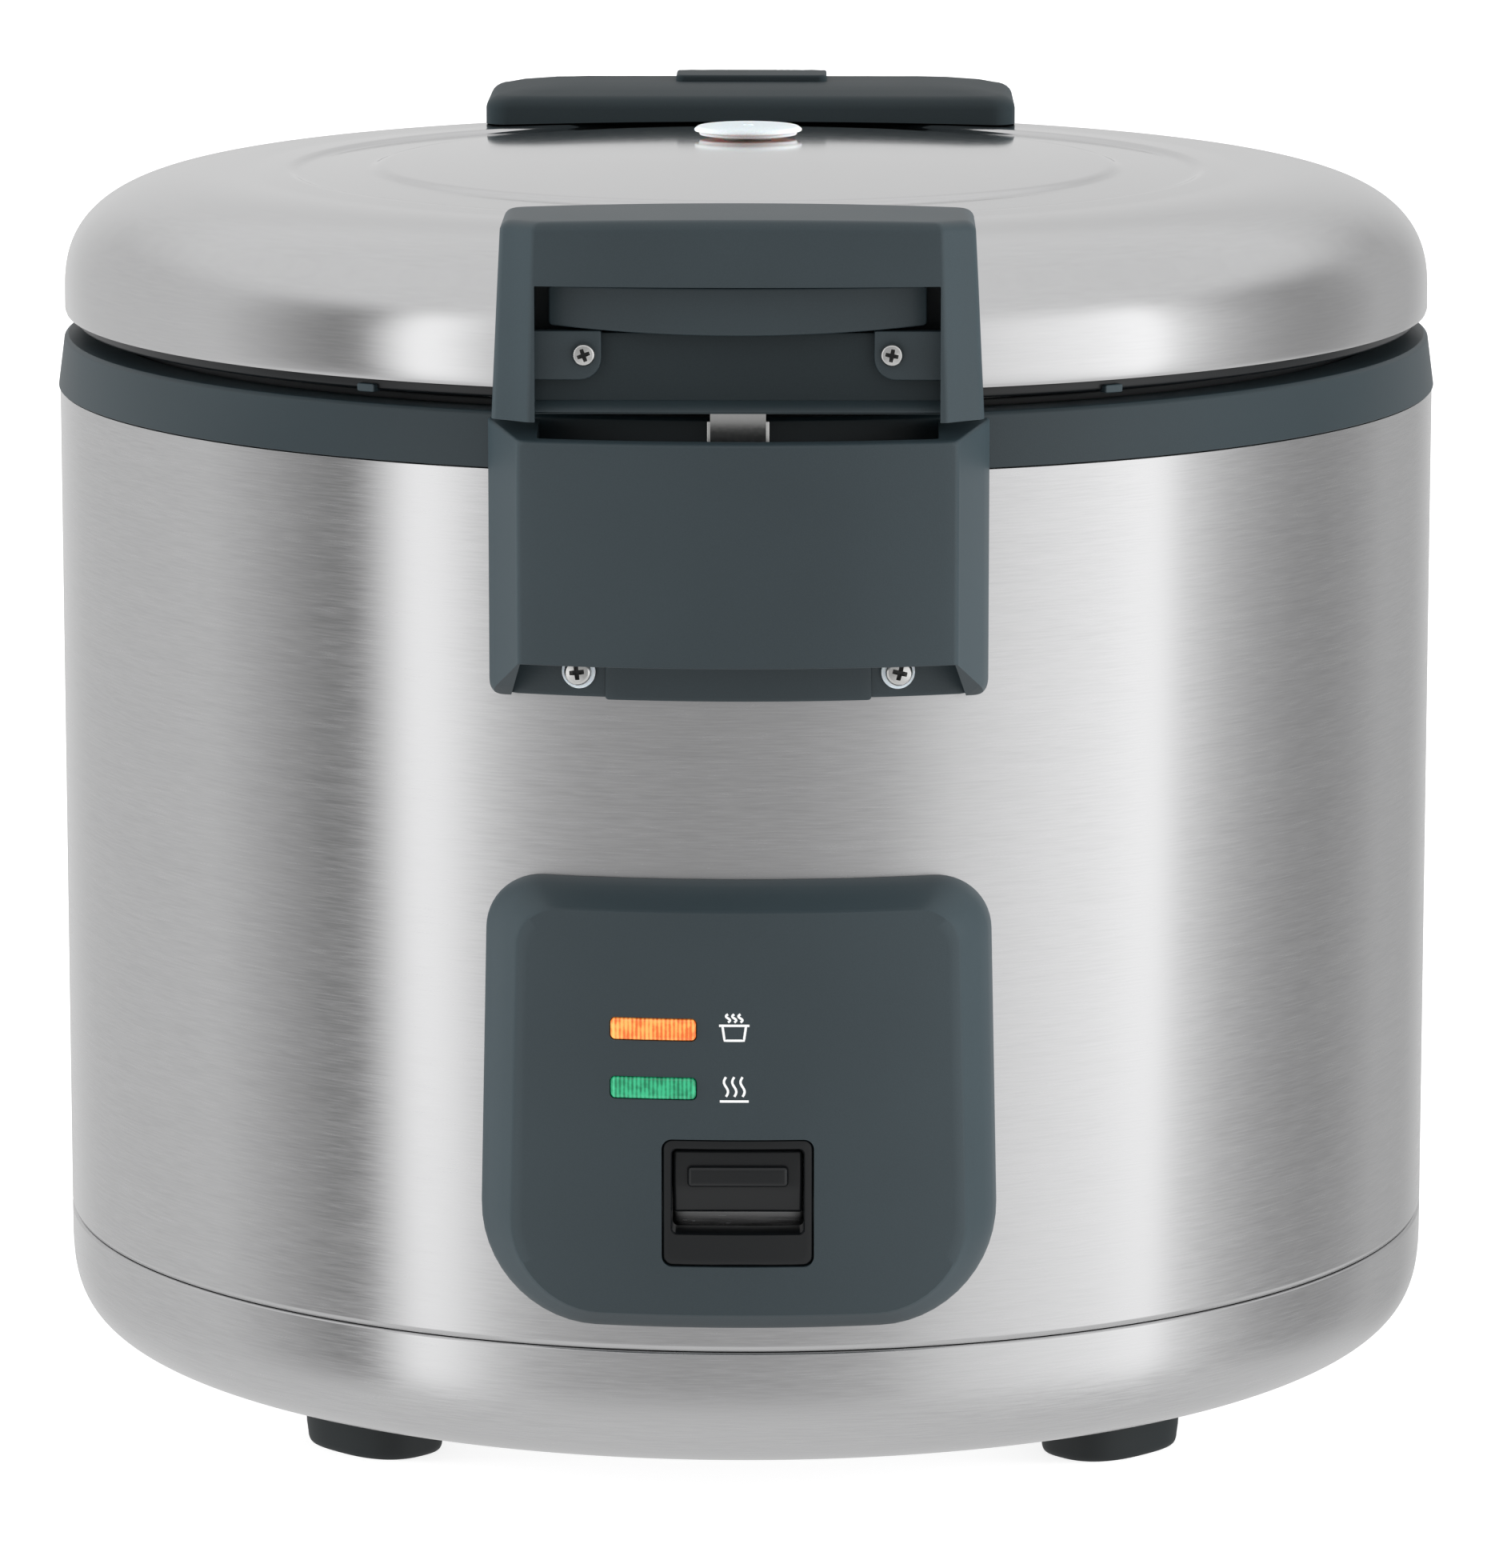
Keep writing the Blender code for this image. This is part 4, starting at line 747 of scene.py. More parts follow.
def square_on(x, z, outward):
    """The turn and place that sets a part square on the drum's front at x and z."""
    angle = math.asin(x / COLLAR_R)
    out = np.array([math.sin(angle), -math.cos(angle), 0.0])
    side = np.array([math.cos(angle), math.sin(angle), 0.0])
    return side, np.array([0, 0, 1.0]), out, out * outward + np.array([0, 0, z])


def set_on(grid, frame_of):
    """Points (u, v, w) laid along a part's side, up and out directions at its place."""
    side, up, out, place = frame_of
    return place + grid[..., :1] * side + grid[..., 1:2] * up + grid[..., 2:] * out


LATCH_LOW, LATCH_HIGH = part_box("latch_housing")[1].z - 0.0672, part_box("latch_housing")[1].z
FLANGE_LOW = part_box("latch_housing")[0].z
LATCH_HALF = radius_of("latch_housing")


def latch_housing():
    """The block reaches down to the flange's foot; cutters leave two thin tails of its cheeks."""
    back, half, low, high = COLLAR_R + 0.0003, LATCH_HALF, FLANGE_LOW + 0.0003, LATCH_HIGH
    levels = [latch_level(half, low, high, 0.001, back),
              latch_level(half - 0.0003, low, high, 0.001, back + 0.005)]
    slope = 0.0088 / (LATCH_R - 0.0012 - back - 0.005)
    for r in (back + 0.009, back + 0.013, back + 0.019, LATCH_R - 0.0022, LATCH_R - 0.0012):
        inward = 0.0003 + slope * (r - back - 0.005)
        drop = 0.0026 * ((r - back) / (LATCH_R - back)) ** 1.5
        levels.append(latch_level(half - inward, low, high - drop, 0.0012, r))
    for angle in np.radians((25, 50, 75, 90)):
        step = 0.0016 * (1 - math.cos(angle))
        levels.append(latch_level(half - 0.0091 - step, low, high - 0.0026 - step * 0.6, 0.0014,
                                  LATCH_R - 0.0012 + 0.0012 * math.sin(angle)))
    body = surface("latch_block", on_drum(stacked(levels, longest=0.003, fill_rows=18)))
    mouth = block("mouth", rectangle(-0.0575, 0.0575, LATCH_LOW + 0.0045, high + 0.02),
                  [0.003] * 4, COLLAR_R - 0.006, LATCH_R - 0.0035, 0.001, on_drum)
    below = [(-0.0668, FLANGE_LOW - 0.003), (0.0668, FLANGE_LOW - 0.003),
             (0.0624, LATCH_LOW), (-0.0624, LATCH_LOW)]
    recess = surface("recess", on_drum(stacked(
        [(below, [0.0004] * 4, r) for r in (COLLAR_R - 0.004, LATCH_R + 0.006)], fill_rows=6)))
    near, far, top, foot = COLLAR_R + 0.0034, LATCH_R + 0.02, LATCH_LOW + 0.0004, FLANGE_LOW
    tails = spun("tails", [(LATCH_R + 0.0004, top), (near, foot), (near, foot - 0.004),
                           (far, foot - 0.004), (far, top)], 240)
    return cut_away(body, mouth, recess, tails)


def flange_strip(name, half, low, high, face, radii):
    return block(name, rectangle(-half, half, low, high), radii, COLLAR_R + 0.0003, face, 0.0004,
                 on_drum)


finish_piece(latch_housing(), charcoal, "base", "dark_plastic", "latch_housing", sharp=32)
flange = flange_strip("latch_foot", LATCH_HALF - 0.0014, FLANGE_LOW + 0.0006, LATCH_LOW + 0.006,
                      COLLAR_R + 0.0028, [0.007, 0.007, 0.002, 0.002])
finish_piece(flange, charcoal, "base", "dark_plastic")
strip = flange_strip("latch_foot_strip", 0.0385, FLANGE_LOW, LATCH_LOW + 0.005,
                     COLLAR_R + 0.0038, [0.001] * 4)
finish_piece(strip, charcoal, "base", "dark_plastic")

# %% [markdown]
# ## Screws
# Every visible screw is a pan head with a cross recess: a spun head, from which a cross with
# tapered arms is taken.

# %% Cross-head screws


def flat_ring(radius, height, count=48):
    a = np.linspace(0, 2 * np.pi, count, endpoint=False)
    return np.stack([radius * np.sin(a), -radius * np.cos(a), height + 0 * a], -1)


def screw_head(name, radius, thick, frame_of, turn, body):
    """A domed head of (radius, height) rings with a cross recess turned by an angle."""
    t = np.linspace(0, np.pi / 2, 8)
    rings = [flat_ring(0, 0), flat_ring(radius * 0.96, 0), flat_ring(radius, thick * 0.12)]
    for a in t:
        rings.append(flat_ring(radius * (0.72 + 0.28 * np.cos(a)),
                               thick * (0.3 + 0.52 * np.sin(a))))
    rings += [flat_ring(radius * 0.35, thick * 0.96), flat_ring(0, thick)]
    head = surface(name, set_on(np.array(rings), frame_of))
    # A black disc under the cross recess is painted shade: it darkens the recess floor of the steel
    # head, where the shade falls.
    painted_shade_disc = [flat_ring(r, thick * h) for r, h in ((0, 0.18), (radius * 0.66, 0.18),
                                                       (radius * 0.66, 0.30), (0, 0.30))]
    recess_painted_shade = surface(name + "_recess_painted_shade", set_on(np.array(painted_shade_disc), frame_of))
    finish_piece(recess_painted_shade, black, body, "steel_parts")
    arm, half = radius * 0.64, radius * 0.19
    c, s = math.cos(turn), math.sin(turn)
    cutters = []
    for i, (a, b) in enumerate(((arm, half), (half, arm))):
        grid = stacked([(rectangle(-a * k, a * k, -b * k, b * k), [0.0001] * 4, h)
                        for k, h in ((0.55, thick * 0.15), (1.0, thick * 1.2))],
                       longest=0.01, steps=2, fill_rows=2)
        x, y = grid[..., 0].copy(), grid[..., 1].copy()
        grid[..., 0], grid[..., 1] = c * x - s * y, s * x + c * y
        cutters.append(surface(f"cross_{i}", set_on(grid, frame_of)))
    return cut_away(head, *cutters)


LATCH_SCREW_X = 0.0454
LATCH_SCREW_Z = middle_of("latch_screw_left", "z")
for side, word, turn in ((-1, "left", 0.12), (1, "right", -0.25)):
    where = (side * LATCH_SCREW_X, LATCH_SCREW_Z)
    washer_frame = square_on(*where, COLLAR_R + 0.0033)
    line = arc_corners([(0.0022, 0), (0.005, 0), (0.005, 0.001), (0.0022, 0.001)],
                       [0.0001, 0.0003, 0.0004, 0.0002], True, 4)
    rings = np.array([flat_ring(r, h) for r, h in line])
    washer = surface("washer_" + word, set_on(rings, washer_frame), wrap_rows=True)
    finish_piece(washer, milky, "base", "white_plastic", "latch_washer_" + word)
    head = screw_head("flange_screw_" + word, 0.0040, 0.0022, square_on(*where, COLLAR_R + 0.0043),
                      turn, "base")
    finish_piece(head, bright_steel, "base", "steel_parts", "latch_screw_" + word, sharp=35)

low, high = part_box("striker_plate")
striker = block("striker", rectangle(low.x, high.x, -high.y, -low.y), [0.0003] * 4, low.z, high.z,
                0.0003, lambda g: g * np.array([1, -1, 1]), steps=3)
finish_piece(striker, bright_steel, "base", "steel_parts", "striker_plate")

# %% [markdown]
# ## The lid handle
# The handle is a hood with a window for the fingers.  Plan outlines are stacked up its height:
# they narrow a little towards the top, and a last quarter round makes the upper edge.  The face
# bulges forward and the top is crowned, both as parabolas over the width.  The hood is then
# hollowed, the window is cut, and the lid's own dome, grown by a hair, trims the back.

# %% Handle hood
HOOD_LOW, HOOD_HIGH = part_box("lid_handle")
HOOD_HALF, HOOD_FRONT, HOOD_BACK = HOOD_HIGH.x, -HOOD_LOW.y, -HOOD_HIGH.y
HOOD_BULGE, HOOD_EDGE = 0.0042, 0.0034      # how far the face bulges; radius of the upper edge
WINDOW_HALF, WINDOW_HIGH = 0.0578, RIM_Z + 0.0407


def hood_level(inward, z, narrow):
    """One plan outline: square at the back, with sides that slant in to the face."""
    half, back = HOOD_HALF - narrow - inward, HOOD_BACK + inward
    front = HOOD_FRONT - HOOD_BULGE - inward
    crease = 0.0598 - narrow * 0.6 - inward * 0.7
    corners = [(-half, -back), (-half, -front + 0.0075), (-crease, -front), (crease, -front),
               (half, -front + 0.0075), (half, -back)]
    return corners, [0.003, 0.004, 0.0024, 0.0024, 0.004, 0.003], z


def hood_shape(grid):
    """Bulge the face and crown the top."""
    x, y, z = grid[..., 0], grid[..., 1], grid[..., 2]
    forward = np.clip((-y - 0.212) / 0.020, 0, 1)
    bulge = HOOD_BULGE * np.clip(1 - (x / 0.064) ** 2, 0, 1) * forward
    rise = np.clip((z - HOOD_HIGH.z + 0.020) / 0.020, 0, 1)
    drop = 0.0012 * (x / 0.066) ** 2 * rise
    return np.stack([x, y - bulge, z - drop], -1)


def lid_cutter(name, grow):
    """The space of the closed lid, a little larger, to trim what sits on it."""
    r = np.linspace(0, CROWN_R, 30)[:-1]
    top, side = np.stack([r, crown(r) + grow], -1), shoulder(np.linspace(np.pi / 2, 0, 40), grow)
    foot = [(LID_R + grow, LID_LOW - 0.02), (0, LID_LOW - 0.02)]
    return spun(name, np.concatenate([top, side, foot]), 240, closed=False)


def handle_hood():
    levels = []
    high = HOOD_HIGH.z
    for z in np.linspace(HOOD_LOW.z, high - HOOD_EDGE, 8):
        levels.append(hood_level(0.0, z, 0.0028 * (z - HOOD_LOW.z) / (high - HOOD_LOW.z)))
    for angle in np.radians((15, 30, 45, 60, 75, 90)):
        levels.append(hood_level(HOOD_EDGE * (1 - math.cos(angle)),
                                 high - HOOD_EDGE * (1 - math.sin(angle)), 0.0026))
    solid = surface("handle_hood", hood_shape(stacked(levels, longest=0.003, fill_rows=14)))
    inner = HOOD_HALF - 0.0095
    room = []
    for z, narrow in ((HOOD_LOW.z - 0.02, 0), (HOOD_LOW.z + 0.02, 0.0006), (high - 0.0065, 0.002),
                      (high - 0.0035, 0.0045)):
        front = HOOD_FRONT - HOOD_BULGE - 0.0030 - narrow * 0.6
        room.append((rectangle(-inner + narrow, inner - narrow, -front, -DRUM_R + 0.0055),
                     [0.002] * 4, z))
    space = surface("hood_space", hood_shape(stacked(room, longest=0.004, fill_rows=6)))
    window = block("window", rectangle(-WINDOW_HALF, WINDOW_HALF, HOOD_LOW.z - 0.02, WINDOW_HIGH),
                   [0.0004] * 4, HOOD_FRONT - 0.010, HOOD_FRONT + 0.010, 0.0002,
                   upright)
    return cut_away(solid, space, window, lid_cutter("dome", 0.0004))


finish_piece(handle_hood(), charcoal, "lid", "dark_plastic", "lid_handle", sharp=34)

# %% [markdown]
# Behind the window a plate closes the hood.  It has a lip along its foot, two ears for screws
# with a round lower corner each, and above it the lift paddle, whose lower edge is bowed.

# %% Base plate, paddle and hook
low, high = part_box("handle_base")


EAR_FRONT = -low.y
base = block("handle_plate", rectangle(low.x, high.x, low.z, high.z), [0.0006] * 4,
             EAR_FRONT - 0.0050, EAR_FRONT - 0.0035, 0.0003, upright)
finish_piece(base, deep_grey, "lid", "dark_plastic", "handle_base")
lip_levels = [(rectangle(low.x + 0.0004, high.x - 0.0004, low.z, low.z + h), [0.0004] * 4, d)
              for h, d in ((0.0036, EAR_FRONT - 0.0040), (0.0034, EAR_FRONT - 0.0030),
                           (0.0010, EAR_FRONT - 0.0004), (0.0006, EAR_FRONT - 0.0002))]
lip = surface("handle_plate_lip", upright(stacked(lip_levels, longest=0.01, steps=4, fill_rows=3)))
finish_piece(lip, charcoal, "lid", "dark_plastic")
EAR_Z = middle_of("handle_screw_left", "z")
for side, word, turn in ((-1, "left", 0.35), (1, "right", -0.2)):
    near, far = 0.0390, high.x - 0.0006
    corners = [(side * near, EAR_Z - 0.0073), (side * far, EAR_Z - 0.0073),
               (side * far, EAR_Z + 0.0068), (side * near, EAR_Z + 0.0068)]
    if side < 0:
        corners = corners[::-1]
    radii = [0.0005] * 4
    radii[0 if side > 0 else 3] = 0.0062
    ear = block("handle_ear_" + word, corners, radii, EAR_FRONT - 0.0040, EAR_FRONT, 0.0004,
                upright)
    finish_piece(ear, charcoal, "lid", "dark_plastic")
    x = side * 0.044
    frame_of = (np.array([1.0, 0, 0]), np.array([0, 0, 1.0]), np.array([0, -1.0, 0]),
                np.array([x, -EAR_FRONT - 0.0002, EAR_Z]))
    head = screw_head("handle_screw_head_" + word, 0.0034, 0.0023, frame_of, turn, "lid")
    finish_piece(head, bright_steel, "lid", "steel_parts", "handle_screw_" + word, sharp=35)


PADDLE_HALF, PADDLE_DROP, PADDLE_BOW = 0.054, 0.0018, 0.0024
PADDLE_LOW, PADDLE_HIGH = RIM_Z + 0.0265, RIM_Z + 0.0397


def paddle_blade():
    """The blade on its cylinder, whose lower edge is lowest in the middle."""
    low, high = PADDLE_LOW, PADDLE_HIGH
    grid = carried(rectangle(-PADDLE_HALF, PADDLE_HALF, low, high), [0.0012] * 4,
                   quarter_round(0, DRUM_R + 0.0145, 0.0004, False, 4)[::-1]
                   + quarter_round(0, DRUM_R + 0.0175, 0.0005, True, 4), longest=0.003)
    share = (grid[..., 1] - low) / (high - low)
    bow = PADDLE_BOW * (1 - (grid[..., 0] / PADDLE_HALF) ** 2)
    grid[..., 1] += (PADDLE_DROP - bow) * np.clip(1 - share, 0, 1)
    return surface("lift_paddle", on_drum(grid))


finish_piece(paddle_blade(), charcoal, "release", "dark_plastic", "release_paddle")
for side in (-1, 1):
    low, high = RIM_Z + 0.0295, RIM_Z + 0.0335
    near, far = sorted((side * 0.028, side * 0.034))
    arm = block(f"paddle_arm_{side:+d}".replace("+", "p").replace("-", "m"),
                rectangle(near, far, low, high), [0.0006] * 4, 0.2158, DRUM_R + 0.0150, 0.0004,
                upright, steps=3)
    finish_piece(arm, charcoal, "release", "dark_plastic")

# %% [markdown]
# ## The control panel
# The panel is a shallow shell bent round the drum, wider at its foot.  Its rim is a long bevel
# that ends in a crisp line at the face.  Lamps and switch sit in holes through the face.

# %% Panel
PANEL_LOW, PANEL_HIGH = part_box("control_panel")[0].z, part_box("control_panel")[1].z
HALF_LOW, HALF_HIGH = radius_of("control_panel"), radius_of("control_panel") - 0.003
LAMP_X = middle_of("cooking_lamp", "x")
COOK_Z = middle_of("cooking_lamp", "z")
WARM_Z = middle_of("warming_lamp", "z")


def panel_level(side, foot, head, r_foot, r_head, height):
    """One outline of the panel: its sides lean in towards the top."""
    low, high = PANEL_LOW + foot, PANEL_HIGH - head
    corners = [(-HALF_LOW + side, low), (HALF_LOW - side, low),
               (HALF_HIGH - side, high), (-HALF_HIGH + side, high)]
    return corners, [r_foot, r_foot, r_head, r_head], height


def control_panel():
    back = DRUM_R + 0.0003
    # side, foot and head step inwards, the corners' radii, and the radius from the axis
    rows = [(0, 0, 0, 0.034, 0.017, back), (0.0002, 0.0002, 0.0002, 0.034, 0.017, back + 0.0035),
            (0.0014, 0.0012, 0.0012, 0.033, 0.0162, back + 0.0070),
            (0.0038, 0.0030, 0.0030, 0.031, 0.0148, back + 0.0110),
            (0.0066, 0.0050, 0.0048, 0.029, 0.0132, back + 0.0142),
            (0.0086, 0.0064, 0.0060, 0.027, 0.0122, PANEL_R - 0.0010),
            (0.0092, 0.0068, 0.0064, 0.0264, 0.0119, PANEL_R - 0.0004),
            (0.0099, 0.0073, 0.0068, 0.0258, 0.0116, PANEL_R)]
    levels = [panel_level(*row) for row in rows]
    shell = surface("control_cover", on_drum(stacked(levels, longest=0.003, steps=14,
                                                      fill_rows=22)))
    low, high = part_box("switch_bezel")
    hole = block("switch_hole", rectangle(low.x - 0.0003, high.x + 0.0003, low.z - 0.0003,
                                          high.z + 0.0003), [0.0030] * 4, DRUM_R - 0.003,
                 PANEL_R + 0.004, 0.0003, on_drum)
    cutters = [hole]
    for name, z in (("cook_hole", COOK_Z), ("warm_hole", WARM_Z)):
        cutters.append(block(name, rectangle(LAMP_X - 0.0127, LAMP_X + 0.0127, z - 0.0034,
                                             z + 0.0034), [0.0016] * 4, PANEL_R - 0.009,
                             PANEL_R + 0.004, 0.0003, on_drum))
    return cut_away(shell, *cutters)


finish_piece(control_panel(), charcoal, "base", "dark_plastic", "control_panel", sharp=28)


def lamp(name, z, material, node):
    """A lens cap: straight sides, a soft edge, and a flat ribbed face."""
    outline = rectangle(LAMP_X - 0.0124, LAMP_X + 0.0124, z - 0.00315, z + 0.00315)
    profile = [(0, PANEL_R - 0.0083), (0, PANEL_R - 0.0004)]
    profile += quarter_round(0, PANEL_R + 0.0007, 0.0010, True, 5)
    lens = surface(name, on_drum(carried(outline, [0.0014] * 4, profile, longest=0.001,
                                         fill_rows=6)))
    finish_piece(lens, material, "base", node[1], node[0], sharp=40)


lamp("cook_lens", COOK_Z, orange_lens, ("cooking_lamp", "orange_lens"))
lamp("warm_lens", WARM_Z, green_lens, ("warming_lamp", "green_lens"))

# %% [markdown]
# The switch is a rocker in a square bezel.  The bezel stands a little below the panel's face,
# and its mouth leaves a wide sill under the rocker.

# %% Bezel and rocker
low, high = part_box("switch_bezel")
bezel = block("rocker_bezel", rectangle(low.x, high.x, low.z, high.z), [0.0028] * 4,
              DRUM_R + 0.006, PANEL_R - 0.0008, 0.0006, on_drum)
mouth_low, mouth_high = SEAM_Z + 0.0396, SEAM_Z + 0.0646
mouth = surface("mouth", on_drum(stacked(
    [(rectangle(-0.01915 - g, 0.01915 + g, mouth_low - g, mouth_high + g), [0.0016] * 4, r)
     for g, r in ((0, DRUM_R), (0, PANEL_R - 0.0016), (0.0009, PANEL_R + 0.0004),
                  (0.0012, PANEL_R + 0.004))], longest=0.003, fill_rows=4)))
finish_piece(cut_away(bezel, mouth), black, "base", "black_plastic", "switch_bezel", sharp=30)

low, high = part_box("cook_switch")
FACE_Y = -low.y - 0.0020


def rocker():
    """The rocker's face falls back at its lower end; the rib is a rounded bar across it."""
    profile = quarter_round(0, -high.y, 0.0004, False, 3)[::-1] + quarter_round(0, FACE_Y, 0.0011,
                                                                                True, 5)
    grid = carried(rectangle(low.x, high.x, low.z, high.z), [0.0010] * 4, profile, longest=0.002)
    share = (grid[..., 1] - low.z) / (high.z - low.z)
    front = np.clip((grid[..., 2] - FACE_Y + 0.004) / 0.003, 0, 1)
    grid[..., 2] -= front * (0.0016 * np.clip(0.42 - share, 0, 1) / 0.42
                             + 0.0007 * np.clip(share - 0.80, 0, 1) / 0.2)
    return surface("rocker_key", upright(grid))


finish_piece(rocker(), black, "cook_lever", "black_plastic", "cook_switch", sharp=38)
middle = (low.z + high.z) / 2 + 0.0018
rib = surface("rocker_rib", upright(carried(
    rectangle(-0.0147, 0.0147, middle - 0.0031, middle + 0.0031), [0.0013] * 4,
    [(0, FACE_Y - 0.0012), (0, FACE_Y + 0.0002)] + quarter_round(0, -low.y, 0.0014, True, 7),
    longest=0.002, fill_rows=4)))
finish_piece(rib, black, "cook_lever", "black_plastic", sharp=50)

# %% [markdown]
# Printed marks beside the lamps: a steaming pot for cooking, and waves of warmth over a line for
# keeping warm.  They are ribbons a few hundredths of a millimetre proud of the face, bent with it.

# %% Printed marks


def ribbon(name, path, width):
    """A flat stroke of even width along a path of (x, z), laid on the panel's face."""
    path = np.asarray(path, float)
    along = np.gradient(path, axis=0)
    along /= np.linalg.norm(along, axis=1, keepdims=True)
    sideways = np.stack([-along[:, 1], along[:, 0]], -1) * width / 2
    rows = []
    for offset, r in ((-1, PANEL_R + 0.00002), (-1, PANEL_R + 0.00006), (1, PANEL_R + 0.00006),
                      (1, PANEL_R + 0.00002)):
        rows.append(np.column_stack([path + offset * sideways, np.full(len(path), r)]))
    grid = np.stack(rows, 1)
    caps = [np.repeat(grid[i].mean(0)[None], 4, 0)[None] for i in (0, -1)]
    return surface(name, on_drum(np.concatenate([caps[0], grid, caps[1]])))


def mark(name, x, z, strokes, width=0.0007):
    parts = []
    for i, stroke in enumerate(strokes):
        parts.append(ribbon(f"{name}_{i}", [(x + a, z + b) for a, b in stroke], width))
    with bpy.context.temp_override(active_object=parts[0], selected_editable_objects=parts,
                                   selected_objects=parts):
        bpy.ops.object.join()
    finish_piece(parts[0], white_print, "base", "white_plastic")


def wave(x, low, high, swing=0.0006):
    t = np.linspace(0, 1, 14)
    return np.stack([x + swing * np.sin(2 * np.pi * t), low + (high - low) * t], -1)


def line(*points):
    """A polyline with points every fraction of a millimetre, so that it bends with the face."""
    rows = []
    for a, b in zip(points, points[1:]):
        t = np.linspace(0, 1, 8)[:, None]
        rows.append(np.array(a) * (1 - t) + np.array(b) * t)
    return np.concatenate([rows[0]] + [r[1:] for r in rows[1:]])


POT_MARK = [line((-0.0034, 0.0012), (-0.0028, -0.0030), (0.0028, -0.0030), (0.0034, 0.0012)),
            line((-0.0044, 0.0014), (0.0044, 0.0014)),
            wave(-0.0018, 0.0024, 0.0048), wave(0.0, 0.0024, 0.0048), wave(0.0018, 0.0024, 0.0048)]
WARM_MARK = [wave(-0.0024, -0.0022, 0.0036), wave(0.0, -0.0022, 0.0036),
             wave(0.0024, -0.0022, 0.0036), line((-0.0042, -0.0036), (0.0042, -0.0036))]
mark("cook_mark", -0.0010, COOK_Z, POT_MARK)
mark("warm_mark", -0.0010, WARM_Z, WARM_MARK)

# %% [markdown]
# ## Hinge cover and rear fittings
# The cover over the hinge is a low dome of plastic whose rear edge follows the drum.  Behind and
# below it stand the hinge bracket, the drip cup in its holder, and the power inlet.

# %% Hinge cover
COVER_LOW, COVER_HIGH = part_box("hinge_cover")


def cover_level(inward, z):
    """The cover's plan: straight front and sides, and a rear on a circle round the drum's axis."""
    half, front, rear = COVER_HIGH.x - inward, COVER_LOW.y + inward, COVER_HIGH.y - inward
    spread = math.asin(half / rear)
    arc = [(rear * math.sin(a), rear * math.cos(a)) for a in np.linspace(spread, -spread, 9)]
    corners = [(-half, front), (half, front)] + arc
    return corners, [0.008, 0.008, 0.004] + [0.0] * 7 + [0.004], z


CREST_Y, SLOPE = DRUM_R - 0.0295, 0.158


def sloped(grid):
    """Drop what is near the cover's top behind its crest, as the moulding falls to the rear."""
    share = np.clip((grid[..., 2] - COVER_LOW.z - 0.012) / 0.025, 0, 1)
    fall = SLOPE * np.clip(grid[..., 1] - CREST_Y, 0, None) + 0.0002
    return grid - np.stack([0 * fall, 0 * fall, fall * share], -1)


def hinge_cover():
    high = COVER_HIGH.z
    levels = [cover_level(0, z) for z in np.linspace(COVER_LOW.z, high - 0.0060, 5)]
    for angle in np.radians((15, 30, 45, 60, 75, 88)):
        levels.append(cover_level(0.0060 * (1 - math.cos(angle)),
                                  high - 0.0018 - 0.0042 * (1 - math.sin(angle))))
    levels += [cover_level(0.011, high - 0.0009), cover_level(0.022, high - 0.0002),
               cover_level(0.032, high)]
    body = surface("rear_cover", sloped(stacked(levels, longest=0.004, fill_rows=10)))
    return cut_away(body, lid_cutter("dome", 0.0004))


finish_piece(hinge_cover(), deep_grey, "lid", "dark_plastic", "hinge_cover", sharp=40)
low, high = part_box("hinge_cover_plate")
grid = carried(rectangle(low.x, high.x, low.y, high.y), [0.003] * 4,
               [(0, high.z - 0.0022)] + quarter_round(0, high.z, 0.0008, True, 5))
grid[..., 2] -= SLOPE * np.clip(grid[..., 1] - CREST_Y, 0, None)
finish_piece(surface("rear_cover_plate", grid), deep_grey, "lid", "dark_plastic",
             "hinge_cover_plate")

# %% Hinge bracket, drip cup and inlet
low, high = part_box("hinge_bracket")
BRACKET_HIGH = RIM_Z - 0.0015
REACH = high.y


def hinge_bracket():
    back, half = COLLAR_R + 0.0003, high.x
    levels = [(rectangle(-half, half, low.z, BRACKET_HIGH), [0.007, 0.007, 0.001, 0.001], back)]
    for r, inward in ((back + 0.006, 0.0004), (REACH - 0.0030, 0.0036), (REACH - 0.0012, 0.0048),
                      (REACH - 0.0004, 0.0056), (REACH, 0.0068)):
        levels.append((rectangle(-half + inward, half - inward, low.z + inward * 0.7,
                                 BRACKET_HIGH - inward * 0.15), [0.006, 0.006, 0.0014, 0.0014], r))
    body = surface("rear_block", on_drum(stacked(levels, longest=0.003), side=1))
    finish_piece(body, charcoal, "base", "dark_plastic", "hinge_bracket", sharp=32)
    pin_y, pin_z, r = DRUM_R + 0.012, RIM_Z + 0.0075, 0.006      # the hinge pin, the ears' radius
    arc = [(pin_y + r * math.cos(a), pin_z + r * math.sin(a)) for a in np.linspace(0, np.pi, 13)]
    corners = [(pin_y - r, BRACKET_HIGH - 0.006), (pin_y + r, BRACKET_HIGH - 0.006)] + arc
    for side, word in ((-1, "left"), (1, "right")):
        near, far = sorted((side * 0.0463, side * 0.0520))
        ear = block("rear_ear_" + word, corners, [0.0] * len(corners), near, far, 0.0006,
                    lambda g: g[..., [2, 0, 1]])
        finish_piece(ear, charcoal, "base", "dark_plastic")


